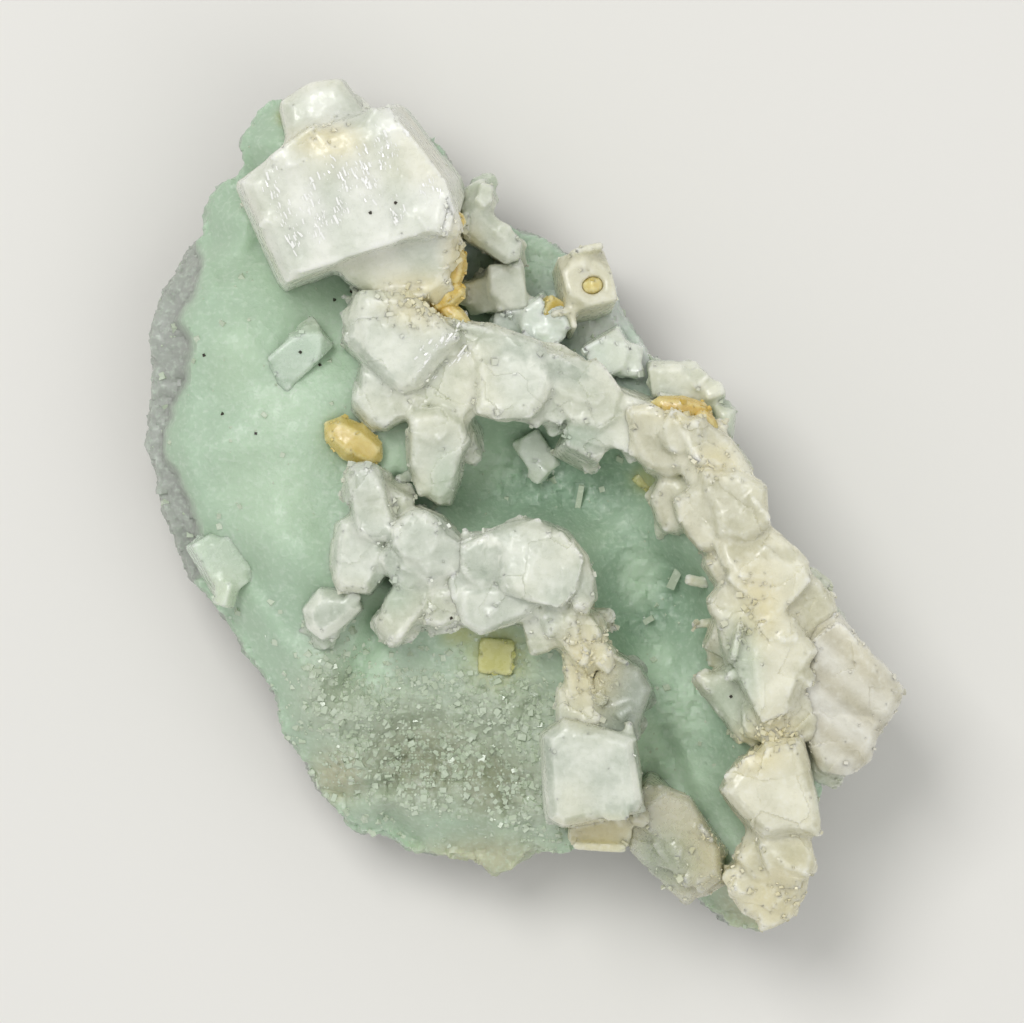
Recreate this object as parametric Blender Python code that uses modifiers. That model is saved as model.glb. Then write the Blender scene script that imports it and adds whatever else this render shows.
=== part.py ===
"""Prehnite crust with white apophyllite blocks and honey calcite, lying on its broken back.

The numbers below are millimetres and degrees, and MM turns them to metres at the end. X runs to the
specimen's right, Y towards its big block, and Z up out of the crystal face. Z is 0 on the flat of the back.
"""

import math
import random
from itertools import product
from typing import NamedTuple

import bmesh
import bpy
import numpy as np
from mathutils import Euler, Matrix, Vector

MM = 0.001

# How the solids meet
GAP = 0.3
ROOT = 2.0

# Neighbouring faces that meet at less than this angle are joined
FLAT_ANGLE = 0.05

# A block's corner is left whole where its drawn share of the cut is below this
UNCUT = 0.35

# The crust's mesh: the slab it starts from, its voxel, and the triangles it keeps
SLAB = 10.0
VOXEL = 0.9
CRUST_TRIANGLES = 2250

# The crust's outline seen from above, clockwise from the notch at its left
OUTLINE = [
    (-27.3, 4.4), (-26.7, 7.6), (-26.6, 10.1), (-26.9, 12.4), (-26.2, 14.7), (-25.1, 16.9), (-24.4, 18.5),
    (-22.9, 19.6), (-22.9, 21.6), (-21.6, 23.3), (-20.2, 23.6), (-19.9, 25.3), (-20.2, 26.3),
    (-19.4, 27.9), (-18.3, 29.2), (-17.1, 29.0), (-14.7, 29.1), (-12.4, 28.1), (-8.9, 27.7), (-6.1, 25.8),
    (-4.9, 22.9), (-3.3, 21.3), (-1.6, 20.3), (0.9, 19.6), (2.7, 18.3), (5.4, 17.7), (6.3, 15.8),
    (7.4, 13.4), (8.9, 11.0), (11.1, 9.6), (13.0, 7.6), (14.0, 4.4), (16.0, 1.1), (17.4, -2.1),
    (19.6, -4.9), (21.3, -7.4), (23.0, -10.3), (24.1, -13.5), (23.1, -16.6), (21.3, -19.2), (20.3, -23.1),
    (19.4, -27.1), (17.2, -30.6), (15.0, -30.2), (12.6, -28.2), (10.3, -27.3), (9.1, -25.4), (7.7, -24.3),
    (5.4, -23.7), (2.7, -24.9), (0.8, -24.7), (-0.9, -26.0), (-2.3, -26.5), (-3.1, -25.4), (-6.0, -25.1),
    (-8.5, -24.7), (-9.9, -23.7), (-11.7, -23.6), (-13.3, -22.1), (-14.9, -20.4), (-15.8, -18.5),
    (-17.2, -16.1), (-17.9, -13.5), (-19.4, -11.4), (-20.3, -9.7), (-21.6, -8.0), (-22.9, -6.0),
    (-24.1, -4.7), (-25.1, -2.1), (-26.1, 0.6), (-26.7, 2.9),
]

# Heights of the grown surface at chosen spots: x, y, z
SPOTS = [
    # the dome and its slopes
    (-18.5, 5.4, 17.4), (-19.5, 11.0, 16.6), (-15.0, 8.0, 17.0), (-21.5, 1.0, 15.6), (-16.5, -1.5, 16.8),
    (-20.0, 15.5, 15.0), (-21.5, -5.5, 13.6), (-17.0, -7.5, 15.0), (-13.5, -2.0, 16.2),
    (-11.5, 4.0, 15.6), (-14.0, 13.0, 14.6), (-23.0, 8.0, 15.0),
    # the upper left: lobe, knob and the floor under the big block
    (-21.5, 20.5, 12.4), (-19.0, 19.0, 13.2), (-18.6, 26.2, 14.2), (-15.0, 23.0, 15.0),
    (-10.0, 21.0, 15.4), (-12.5, 15.6, 13.6), (-8.0, 25.0, 14.6),
    # the recessed zone at the upper right
    (-4.0, 17.5, 8.8), (0.5, 16.5, 8.2), (4.0, 15.5, 8.8), (-1.5, 13.5, 8.8), (3.5, 11.5, 9.4),
    (7.0, 11.0, 10.0), (9.5, 8.2, 11.0),
    # the upper ridge
    (-8.5, 11.0, 16.8), (-7.5, 6.0, 16.2), (-1.5, 9.0, 16.8), (3.5, 7.8, 16.6), (7.5, 5.5, 16.4),
    # the basin and the trough that runs down from it
    (-3.0, 2.5, 10.0), (0.5, 4.0, 10.0), (3.5, 2.0, 10.4), (7.0, 0.5, 10.8), (-3.5, -0.8, 10.6),
    (6.5, -4.5, 10.6), (9.5, -7.0, 10.0), (9.5, -10.0, 9.8), (11.5, -13.5, 11.4), (12.5, -17.5, 11.4),
    (9.8, -19.5, 9.6), (13.0, -21.0, 11.0), (14.8, -24.5, 11.2),
    # the right ridge, the edge under the wedge and the foot
    (11.0, 4.4, 17.2), (12.8, -1.0, 16.6), (15.5, -1.5, 17.6), (16.5, -6.0, 17.6), (17.8, -11.0, 17.4),
    (17.4, -16.0, 16.4), (21.5, -10.0, 15.2), (22.0, -15.0, 13.8), (18.5, -20.0, 16.0),
    (18.5, -25.5, 14.2), (16.5, -28.5, 10.0), (11.0, -25.5, 10.6),
    # the centre ridge
    (-10.5, 0.5, 17.0), (-11.5, -4.0, 17.0), (-7.0, -3.0, 17.2), (-7.5, -7.5, 16.6), (-2.0, -4.5, 17.0),
    (2.5, -4.5, 17.2), (2.8, -10.0, 16.4), (6.0, -13.5, 15.6), (4.5, -18.5, 15.4), (5.5, -22.5, 13.0),
    # the drusy slope at the lower left
    (-14.0, -11.0, 14.8), (-10.5, -10.5, 13.6), (-13.0, -15.0, 13.8), (-6.5, -12.0, 14.4),
    (-2.0, -11.5, 14.4), (-8.5, -17.5, 12.4), (-4.5, -17.5, 12.6), (0.8, -15.0, 13.4),
    (-1.0, -20.0, 12.6), (-6.0, -22.0, 11.6), (-11.0, -20.0, 11.8),
]
SPOT_REACH = 2.1

# Rounded lumps and hollows: x, y, radius, rise
LUMPS = [
    (-19.2, 12.6, 3.4, 0.9), (-17.2, -3.8, 3.2, 0.8), (-22.0, 4.2, 2.6, 0.6), (-14.6, 3.6, 2.6, 0.5),
    (-18.8, 26.0, 1.6, 1.2), (-21.4, 20.9, 1.5, 0.8), (-14.8, -13.6, 2.2, 1.0), (-11.0, -14.8, 1.9, 0.9),
    (-5.0, -11.0, 2.0, 0.8), (-1.6, -14.2, 1.8, 0.8), (1.0, -18.0, 2.0, 0.9), (-4.2, -20.8, 2.2, 0.9),
    (-9.0, -21.4, 1.8, 0.9), (-12.6, -18.8, 1.7, 0.8), (7.4, -1.6, 2.4, 0.7), (12.6, -10.4, 2.2, 0.8),
    (10.0, -14.6, 2.0, 0.7), (2.2, 3.2, 1.8, 0.5), (13.8, -19.6, 2.0, 0.7), (-8.6, -18.2, 2.4, -1.2),
    (8.8, -10.0, 1.8, -0.9), (9.4, -20.2, 1.6, -1.0), (-10.3, -7.6, 1.3, -1.6), (-9.3, -4.6, 1.0, -1.6),
]

# Grooves and ledges: from x, y to x, y, half width, depth
GROOVES = [
    (-10.2, -8.6, -13.2, -13.4, 0.9, 1.7), (-19.0, 18.6, -21.6, 16.8, 0.8, 0.8),
    (-9.0, 1.6, -7.0, -0.6, 0.8, 2.2), (-12.8, -16.6, -6.0, -15.6, 0.7, 0.6),
    (-2.6, -16.4, -1.0, -22.0, 0.7, 0.7), (-13.6, -20.6, -9.6, -20.0, 0.6, 0.9),
    (-9.8, -22.2, -8.0, -24.2, 0.8, 1.4), (-16.8, -8.8, -19.6, -4.6, 0.8, 0.5),
    (10.2, -16.2, 12.4, -22.6, 0.7, 0.8),
]

# The broken terrace along the left edge: its inner line as y and x, the drop onto it, the step's width
TERRACE_Y = [-6.0, -4.6, -1.8, 0.4, 4.0, 7.2, 9.0, 11.2, 13.3, 15.4, 17.6, 19.4]
TERRACE_X = [-24.0, -23.2, -23.6, -23.9, -25.7, -25.5, -24.3, -23.9, -24.4, -23.9, -23.2, -23.6]
TERRACE_DROP = 3.8
TERRACE_STEP = 0.8

# The edge all round, the broken back and the uneven skin
EDGE_FALL = 2.6
EDGE_WIDTH = 3.2
SHEER_KEEP = 0.25
BACK_RISE = 4.6
BACK_WIDTH = 10.5
BACK_SUNK = 1.0
BACK_ROUGH = 1.3
SKIN_CELL = 3.6
SKIN_ROUGH = 0.35
SIDE_ROUGH = 0.6

PREHNITE = ("prehnite", (0.47, 0.66, 0.49), 0.45)
APOPHYLLITE = ("apophyllite", (0.80, 0.80, 0.70), 0.35)
CALCITE = ("calcite", (0.74, 0.53, 0.16), 0.3)


class Block(NamedTuple):
    """One blocky crystal, placed by the middle of its top face.

    turn is about Z, roll about the block's length and pitch about its width. corner is how far its top
    corners are cut back. It reaches down to ROOT below the crust unless depth says otherwise.
    """

    x: float
    y: float
    top: float
    length: float
    width: float
    turn: float
    roll: float = 0.0
    pitch: float = 0.0
    corner: float = 0.9
    depth: float = 0.0


class Prism(NamedTuple):
    """One crystal with an outline of its own, and a flat top that may lean.

    top is the height over the outline's middle, and lean the top's climb per millimetre along X and Y.
    chamfer is the width of the bevel round the top, and flare how far the foot stands out.
    """

    outline: list
    top: float
    lean: tuple = (0.0, 0.0)
    chamfer: float = 0.5
    flare: float = 0.25
    depth: float = 0.0


class Grain(NamedTuple):
    """One pointed calcite: a six-sided spindle about its own length."""

    x: float
    y: float
    z: float
    length: float
    width: float
    height: float
    turn: float
    pitch: float = 0.0


# Every crystal group. The calcites keep their shapes, and then each group cuts those after it
GROUPS = {
    "apophyllite_big_block": [
        Prism([(-20.0, 23.0), (-16.1, 26.0), (-9.2, 28.3), (-6.1, 26.6), (-4.6, 22.7), (-5.4, 19.8),
               (-9.5, 18.7), (-12.8, 17.6), (-16.9, 15.9)], 24.4, (0.05, 0.03), 0.7, 0.45),
        Prism([(-13.6, 18.0), (-6.0, 21.0), (-4.9, 19.1), (-4.7, 17.4), (-6.7, 14.9), (-11.0, 15.2),
               (-12.6, 16.2)], 21.2, (0.0, 0.55), 0.6, 0.3),
        Prism([(-17.2, 28.8), (-15.1, 30.1), (-13.2, 30.3), (-11.6, 28.2), (-11.0, 26.0), (-16.6, 25.6)],
               20.8, (0.1, -0.1), 0.6, 0.3), ], "apophyllite_upper_ridge": [ Prism([(-11.9, 15.1),
               (-8.1, 15.2), (-4.7, 12.1), (-6.0, 10.4), (-7.4, 8.5), (-9.2, 8.8), (-11.0, 10.1),
               (-12.7, 11.9), (-12.5, 13.3)], 20.6, (0.06, 0.04), 0.5, 0.3),
        Prism([(-11.5, 9.9), (-7.6, 8.6), (-6.7, 7.6), (-8.3, 6.5), (-9.9, 5.6), (-10.9, 5.8),
               (-12.1, 7.2), (-12.0, 8.4)], 19.2, (0.1, 0.05), 0.6, 0.3),
        Prism([(-7.6, 6.9), (-4.9, 6.5), (-4.5, 5.4), (-4.8, 1.9), (-5.4, 0.3), (-6.1, 0.3), (-7.1, 1.3),
               (-8.2, 3.1), (-8.2, 4.7)], 18.6, (0.0, 0.3), 0.4, 0.2),
        Block(-4.2, 4.5, 17.0, 3.6, 1.0, -66, 10, 20, 0.4),
        Block(-4.4, 8.4, 18.8, 3.6, 4.6, -35, 6, 4, 0.9),
        Block(-2.6, 10.6, 18.6, 4.4, 3.2, -14, -10, 4, 0.9),
        Block(-1.2, 8.2, 19.8, 5.4, 3.8, -12, 6, -4, 1.0),
        Block(1.6, 8.4, 19.4, 4.8, 4.6, -26, 4, 6, 1.1),
        Block(2.6, 10.2, 18.0, 3.0, 2.4, -20, -14, 0, 0.7),
        Block(4.7, 7.8, 19.4, 4.0, 4.2, 35, -4, 8, 1.1),
        Block(5.1, 5.4, 18.2, 3.6, 2.6, 62, 6, 12, 0.8),
        Block(6.9, 6.0, 18.8, 3.4, 3.6, -20, 6, -4, 1.0),
        Block(4.7, 3.4, 16.0, 2.0, 0.9, -80, 0, 26, 0.3),
        Block(7.7, 4.0, 16.6, 1.8, 1.0, -60, 0, 22, 0.3),
        Block(2.7, 5.9, 17.2, 2.2, 1.1, 24, 14, 0, 0.4),
    ],
    "apophyllite_right_ridge": [
        Prism([(7.2, 6.6), (9.4, 6.9), (10.4, 5.6), (11.8, 2.8), (10.3, 2.2), (9.0, 2.7), (8.1, 4.4)],
               19.8, (0.1, 0.1), 0.5, 0.3), Block(11.2, 5.0, 21.2, 2.8, 2.4, -30, 4, 6, 0.8),
               Block(12.9, 5.0, 19.4, 2.6, 2.8, -16, -8, 4, 0.7), Prism([(9.4, 0.4), (9.9, 2.1),
               (12.2, 2.2), (12.0, -1.5), (10.1, -1.7)], 17.8, (0.1, 0.0), 0.5, 0.2),
        Prism([(10.9, 0.4), (12.2, 1.3), (13.5, 0.2), (14.2, -2.3), (12.7, -3.0), (11.5, -1.4)], 20.6,
               (-0.05, 0.08), 0.3, 0.2), Block(13.4, 2.7, 20.8, 4.2, 3.8, -50, 4, 4, 1.1),
               Block(14.8, -0.5, 21.4, 4.6, 3.4, -52, -4, 6, 1.1),
               Block(16.0, -3.0, 20.6, 3.8, 3.8, -42, -6, 4, 1.0), Prism([(13.0, -4.2), (13.5, -3.0),
               (15.4, -2.8), (16.6, -4.6), (15.4, -6.0), (14.1, -5.6)], 20.2, (0.1, -0.05), 0.5, 0.25),
               Block(17.4, -5.2, 21.6, 4.4, 3.8, -42, -4, 4, 1.2), Prism([(13.4, -6.9), (14.2, -5.9),
               (15.8, -5.4), (17.6, -6.6), (16.6, -7.7), (15.4, -8.3), (14.1, -8.1)], 20.8, (0.0, -0.1),
               0.4, 0.2), Block(19.6, -7.0, 19.6, 3.0, 4.0, -54, -8, 6, 1.0),
               Block(14.9, -9.5, 17.6, 2.8, 2.8, 70, 8, -6, 0.7),
               Block(17.4, -9.6, 21.2, 4.6, 4.2, -12, 4, 4, 1.2),
               Block(18.1, -12.7, 20.8, 4.2, 4.0, 24, -4, 6, 1.5),
               Block(17.4, -15.4, 19.0, 3.4, 2.4, 4, 12, -4, 0.8), Prism([(12.7, -12.6), (14.9, -11.3),
               (16.2, -11.9), (16.8, -13.9), (16.6, -16.5), (15.5, -16.8)], 17.4, (0.15, 0.0), 0.4, 0.2),
               ], "apophyllite_wedge_block": [ Prism([(22.2, -7.7), (24.5, -10.4), (26.9, -13.1),
               (26.5, -14.4), (19.9, -14.2), (20.1, -10.3), (20.9, -8.5)], 19.2, (-0.18, 0.06), 0.5, 0.1,
               8.5),
        Prism([(19.8, -13.6), (26.6, -13.8), (26.2, -15.0), (24.0, -17.9), (22.9, -18.2), (21.9, -19.4),
               (21.1, -19.3), (20.3, -16.7)], 16.8, (-0.1, 0.5), 0.5, 0.1, 7.0),
    ],
    "apophyllite_foot_blocks": [
        Prism([(14.4, -20.3), (15.8, -18.3), (17.2, -17.1), (19.8, -16.9), (20.5, -20.3), (20.8, -23.0),
               (17.1, -23.5)], 20.0, (0.0, 0.08), 0.5, 0.3),
        Block(19.0, -25.2, 18.2, 3.2, 3.2, 20, 6, 8, 1.0),
        Block(16.8, -25.2, 17.2, 2.8, 2.8, -12, 10, -6, 0.9),
        Block(16.0, -27.2, 16.2, 2.6, 2.6, 12, 8, -10, 0.8),
        Block(18.0, -28.4, 15.8, 3.2, 2.6, 6, 12, 4, 0.9),
        Block(19.5, -27.0, 16.2, 1.6, 2.6, -10, 4, 14, 0.6),
    ],
    "apophyllite_foot_cluster": [
        Block(9.3, -22.6, 15.4, 4.0, 3.2, -42, 8, 4, 1.0),
        Block(11.5, -24.2, 15.8, 4.4, 3.4, -52, 4, -4, 1.1),
        Block(10.9, -26.0, 14.0, 2.8, 2.6, -36, 12, 4, 0.9),
        Block(12.9, -26.2, 14.0, 2.8, 2.4, -60, 4, 8, 0.8),
    ],
    "apophyllite_centre_cluster": [
        Prism([(-12.6, 1.9), (-12.2, 2.7), (-10.6, 2.8), (-10.1, 1.5), (-9.4, -1.0), (-9.6, -1.9),
               (-10.9, -2.4), (-11.9, -0.4)], 20.8, (0.1, -0.05), 0.3, 0.2),
        Block(-9.2, 0.2, 18.8, 2.2, 1.5, -32, 10, 10, 0.5),
        Prism([(-13.3, -1.4), (-12.1, -0.7), (-9.9, -3.0), (-10.1, -4.9), (-11.1, -6.1), (-13.2, -5.7),
               (-13.6, -4.4)], 20.0, (0.1, 0.0), 0.5, 0.25),
        Prism([(-9.4, -1.7), (-7.6, -0.3), (-6.0, -1.0), (-4.6, -2.4), (-4.9, -4.9), (-6.7, -6.0),
               (-8.6, -5.1), (-9.0, -3.5)], 21.4, (-0.08, 0.05), 0.6, 0.3),
        Prism([(-10.6, -8.1), (-8.9, -6.1), (-4.9, -5.6), (-4.7, -7.6), (-5.8, -8.6), (-7.8, -8.3),
               (-9.2, -9.8), (-10.1, -9.5)], 20.0, (0.12, 0.08), 0.5, 0.25),
    ],
    "apophyllite_round_block": [
        Prism([(-14.6, -6.0), (-12.2, -6.3), (-11.7, -7.3), (-13.1, -8.6), (-14.4, -9.5), (-15.4, -8.7),
               (-15.7, -7.4)], 18.4, (0.1, 0.0), 0.6, 0.2),
    ],
    "apophyllite_round_cluster": [
        Prism([(-4.6, -2.9), (-3.5, -2.1), (-1.7, -2.4), (-1.1, -4.2), (-1.7, -5.6), (-3.9, -5.5),
               (-4.7, -4.2)], 21.4, (0.05, 0.0), 0.5, 0.25), Prism([(-1.7, -2.1), (-0.3, -1.2),
               (1.5, -1.5), (2.9, -2.1), (4.3, -3.9), (4.8, -6.5), (1.9, -6.7), (-1.0, -6.0)], 22.0,
               (0.0, -0.08), 0.7, 0.3),
        Prism([(-4.4, -6.0), (-1.7, -5.4), (1.5, -6.0), (0.4, -7.7), (-3.1, -8.9), (-4.4, -8.0)], 20.8,
               (0.02, 0.12), 0.4, 0.2), Block(1.6, -8.9, 19.2, 2.8, 2.4, 22, 4, -6, 0.8),
               Block(3.4, -8.6, 20.2, 3.2, 2.8, -58, 4, 6, 0.9),
               Block(4.7, -10.2, 19.4, 2.8, 2.8, -48, -6, 6, 0.9),
               Block(4.0, -12.6, 18.8, 4.2, 1.6, -84, 0, 6, 0.6),
               Block(5.4, -7.9, 16.8, 2.2, 0.8, 4, 0, 16, 0.3), ], "apophyllite_clear_block": [
               Prism([(5.4, -11.5), (6.4, -10.7), (8.2, -11.6), (9.0, -13.1), (8.3, -14.9), (7.8, -16.4),
               (5.3, -16.4), (4.7, -14.2)], 19.2, (0.05, 0.1), 0.4, 0.2),
    ],
    "apophyllite_square_block": [
        Prism([(1.5, -16.4), (2.9, -15.3), (7.6, -16.6), (8.3, -21.0), (8.0, -21.6), (2.8, -22.7),
               (1.9, -22.2)], 21.4, (0.02, 0.03), 0.5, 0.3), ], "apophyllite_shelf_block": [
               Block(5.5, -23.2, 16.0, 4.2, 2.2, -3, 8, 0, 0.6), ], "apophyllite_top_prism": [
               Prism([(-4.2, 21.3), (-3.4, 21.6), (-2.6, 20.9), (-0.3, 18.9), (-0.4, 17.8), (-1.3, 17.5),
               (-4.2, 19.4)], 15.4, (-0.05, 0.1), 0.4, 0.15),
               Block(-3.5, 22.2, 14.8, 1.9, 1.7, 25, 0, -4, 0.5), ], "apophyllite_edge_slab": [
               Prism([(9.1, 10.1), (11.3, 10.1), (12.7, 9.0), (14.1, 8.1), (13.8, 7.1), (11.9, 7.5),
               (9.4, 8.0)], 15.8, (0.0, 0.1), 0.4, 0.2), Prism([(13.8, 7.0), (15.0, 6.9), (14.8, 4.8),
               (14.0, 5.2)], 16.0, (0.0, 0.0), 0.3, 0.15),
    ],
    "apophyllite_recess_pair": [
        Block(-3.0, 15.1, 12.4, 2.4, 2.2, 16, 4, -4, 0.6),
        Block(-1.2, 15.8, 13.0, 2.4, 3.1, 4, -4, 4, 0.6),
    ],
    "apophyllite_recess_corner": [
        Block(-0.6, 13.2, 12.4, 3.0, 1.3, -6, 4, 0, 0.4),
        Block(1.1, 12.9, 13.4, 3.2, 2.2, -57, 6, 4, 0.7),
    ],
    "apophyllite_recess_edge": [
        Block(4.6, 16.4, 14.4, 3.3, 3.9, 12, -8, 6, 0.9),
    ],
    "apophyllite_recess_low": [
        Block(6.1, 10.8, 13.8, 2.8, 2.5, 30, 4, -4, 0.7),
        Block(7.6, 10.5, 13.4, 1.5, 2.2, -14, 0, 6, 0.4),
    ],
    "apophyllite_dome_tablet": [
        Block(-16.1, 10.8, 17.4, 4.3, 2.2, 41, 4, -4, 0.6, 3.2),
    ],
    "apophyllite_left_tablet": [
        Block(-21.5, -4.0, 14.8, 4.2, 2.6, -60, -10, 4, 0.8, 3.4),
    ],
    "apophyllite_basin_tablet": [
        Block(0.9, 3.7, 12.2, 2.9, 1.9, -58, 6, 4, 0.4, 3.4),
    ],
    "calcite_oval": [Grain(-12.2, 4.6, 17.2, 4.8, 2.8, 2.6, -33, 4)],
    "calcite_block_spot": [Grain(-5.4, 20.1, 22.0, 2.4, 1.8, 2.4, 20, 30)],
    "calcite_strip": [
        Grain(-4.9, 17.0, 18.6, 2.8, 1.4, 2.2, 80, 0),
        Grain(-5.5, 15.0, 18.4, 2.8, 2.0, 2.6, 30, 0),
        Grain(-4.9, 13.5, 18.4, 3.2, 1.3, 2.2, -45, 0),
    ],
    "calcite_diamond": [Block(2.3, 14.1, 12.8, 1.5, 1.5, 62, 20, 24, 0.2, 4.0)],
    "calcite_edge_spot": [Grain(4.9, 15.8, 14.0, 1.4, 1.2, 1.8, 10, 0)],
    "calcite_band": [
        Grain(11.2, 7.0, 18.8, 4.4, 1.6, 2.4, -8, 0),
        Grain(13.0, 5.9, 19.2, 2.4, 1.3, 2.0, -58, 0),
    ],
    "calcite_green_spot": [Block(8.9, 1.9, 13.2, 1.5, 1.4, -40, 4, 4, 0.2, 2.6)],
    "calcite_green_square": [Block(-2.0, -10.8, 15.0, 2.3, 2.3, -4, 4, 0, 0.2, 2.0)],
}


def lattice_noise(x, y, z, cell, seed):
    """Smooth noise from -1 to 1, the same for the same place and seed. cell is its grain size."""
    places = [np.asarray(axis, dtype=float) / cell for axis in (x, y, z)]
    corners = [np.floor(place).astype(np.int64) for place in places]
    fractions = [place - corner for place, corner in zip(places, corners)]
    weights = [part * part * (3.0 - 2.0 * part) for part in fractions]
    total = 0.0
    for step in product((0, 1), repeat=3):
        key = (corners[0] + step[0]) * 374761393 + (corners[1] + step[1]) * 668265263
        key = key + (corners[2] + step[2]) * 2147483647 + seed * 1274126177
        key = (key ^ (key >> 13)) * 1103515245
        value = ((key ^ (key >> 16)) & 0xFFFF) / 32767.5 - 1.0
        share = 1.0
        for weight, side in zip(weights, step):
            share = share * (weight if side else 1.0 - weight)
        total = total + value * share
    return total


def smooth_step(value):
    """0 below 0, 1 above 1 and an S curve between."""
    held = np.clip(value, 0.0, 1.0)
    return held * held * (3.0 - 2.0 * held)


def segment_distance(x, y, start, end):
    """Distance from points to the line from start to end."""
    run = np.subtract(end, start)
    along = ((x - start[0]) * run[0] + (y - start[1]) * run[1]) / float(run @ run)
    along = np.clip(along, 0.0, 1.0)
    return np.hypot(x - start[0] - along * run[0], y - start[1] - along * run[1])


def edge_distance(x, y):
    """Distance from points to the outline."""
    ends = OUTLINE[1:] + OUTLINE[:1]
    return np.min([segment_distance(x, y, start, end) for start, end in zip(OUTLINE, ends)], axis=0)


def crust_top(x, y):
    """Height of the crust's grown surface over points, all in millimetres."""
    weight_sum = 1e-9
    height = 0.0
    for spot_x, spot_y, spot_z in SPOTS:
        weight = np.exp(-((x - spot_x) ** 2 + (y - spot_y) ** 2) / (2.0 * SPOT_REACH**2))
        weight = weight + 1e-7 / (1.0 + (x - spot_x) ** 2 + (y - spot_y) ** 2)
        weight_sum = weight_sum + weight
        height = height + weight * spot_z
    height = height / weight_sum
    for lump_x, lump_y, radius, rise in LUMPS:
        height = height + rise * np.exp(-((x - lump_x) ** 2 + (y - lump_y) ** 2) / radius**2)
    for start_x, start_y, end_x, end_y, half_width, depth in GROOVES:
        away = segment_distance(x, y, (start_x, start_y), (end_x, end_y))
        height = height - depth * np.exp(-((away / half_width) ** 2))
    flat = np.zeros_like(x)
    height = height + SKIN_ROUGH * lattice_noise(x, y, flat, SKIN_CELL, 1)
    inner_edge = np.interp(y, TERRACE_Y, TERRACE_X, left=-99.0, right=-99.0)
    inner_edge = inner_edge + 0.4 * lattice_noise(x, y, flat, 1.7, 2)
    on_terrace = smooth_step((inner_edge - x) / TERRACE_STEP + 0.5)
    height = height - TERRACE_DROP * on_terrace
    rounding = 1.0 - smooth_step(edge_distance(x, y) / EDGE_WIDTH)
    sheer = smooth_step((x + 0.6 * y - 1.0) / 6.0)
    return height - EDGE_FALL * rounding * (1.0 - 0.7 * on_terrace) * (1.0 - (1.0 - SHEER_KEEP) * sheer)


def crust_back(x, y):
    """Height of the broken back over points, below 0 where the flat will be cut."""
    rise = BACK_RISE * (1.0 - smooth_step(edge_distance(x, y) / BACK_WIDTH))
    flat = np.zeros_like(x)
    hackle = lattice_noise(x, y, flat, 7.0, 3) + 0.5 * lattice_noise(x, y, flat, 3.0, 4)
    return rise - BACK_SUNK + BACK_ROUGH * hackle


def keep_biggest_body(mesh):
    """Deletes every loose body of a mesh but its largest, in place."""
    work = bmesh.new()
    work.from_mesh(mesh)
    left = set(work.verts)
    bodies = []
    while left:
        body = set()
        stack = [left.pop()]
        while stack:
            vertex = stack.pop()
            body.add(vertex)
            near = {edge.other_vert(vertex) for edge in vertex.link_edges}
            stack.extend(near & left)
            left -= near
        bodies.append(body)
    bodies.sort(key=len)
    for body in bodies[:-1]:
        bmesh.ops.delete(work, geom=list(body), context="VERTS")
    work.to_mesh(mesh)
    work.free()


def merge_flat_faces(mesh):
    """Joins neighbouring faces that lie in one plane, in place."""
    work = bmesh.new()
    work.from_mesh(mesh)
    bmesh.ops.dissolve_limit(work, angle_limit=math.radians(FLAT_ANGLE), verts=work.verts, edges=work.edges)
    work.to_mesh(mesh)
    work.free()


def evaluated_mesh(item):
    """The mesh of an object with its modifiers, as a new mesh."""
    bpy.context.view_layer.update()
    graph = bpy.context.evaluated_depsgraph_get()
    return bpy.data.meshes.new_from_object(item.evaluated_get(graph))


def freeze(item):
    """Turns an object's modifiers into mesh, and keeps its largest body."""
    mesh = evaluated_mesh(item)
    item.modifiers.clear()
    item.data = mesh
    keep_biggest_body(item.data)


def make_material(name, color, roughness):
    """A plain Principled material."""
    material = bpy.data.materials.new(name)
    material.use_nodes = True
    shader = material.node_tree.nodes["Principled BSDF"]
    shader.inputs["Base Color"].default_value = (*color, 1.0)
    shader.inputs["Roughness"].default_value = roughness
    shader.inputs["Metallic"].default_value = 0.0
    return material


def root_depth(x, y, top):
    """How far a crystal reaches down from its top to be rooted in the crust."""
    return top - crust_top(np.array([x]), np.array([y]))[0] + ROOT


def block_mesh(block, seed):
    """The closed mesh of a Block in millimetres."""
    depth = block.depth or root_depth(block.x, block.y, block.top)
    work = bmesh.new()
    bmesh.ops.create_cube(work, size=1.0)
    bmesh.ops.scale(work, vec=(block.length, block.width, depth), verts=work.verts)
    draw = random.Random(seed)
    for side_x, side_y in product((-1, 1), repeat=2):
        share = draw.uniform(0.0, 1.3)
        if share < UNCUT:
            continue
        normal = Vector((side_x, side_y, 1.0)).normalized()
        corner = Vector((side_x * block.length, side_y * block.width, depth)) / 2
        geometry = work.verts[:] + work.edges[:] + work.faces[:]
        point = corner - normal * block.corner * share
        plane = {"plane_co": point, "plane_no": normal, "clear_outer": True}
        sliced = bmesh.ops.bisect_plane(work, geom=geometry, **plane)
        edges = [item for item in sliced["geom_cut"] if isinstance(item, bmesh.types.BMEdge)]
        bmesh.ops.contextual_create(work, geom=edges)
    angles = [math.radians(angle) for angle in (block.roll, block.pitch, block.turn)]
    turn = Euler(angles).to_matrix().to_4x4()
    place = Matrix.Translation((block.x, block.y, block.top)) @ turn @ Matrix.Translation((0, 0, -depth / 2))
    bmesh.ops.transform(work, matrix=place, verts=work.verts)
    return work


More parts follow.
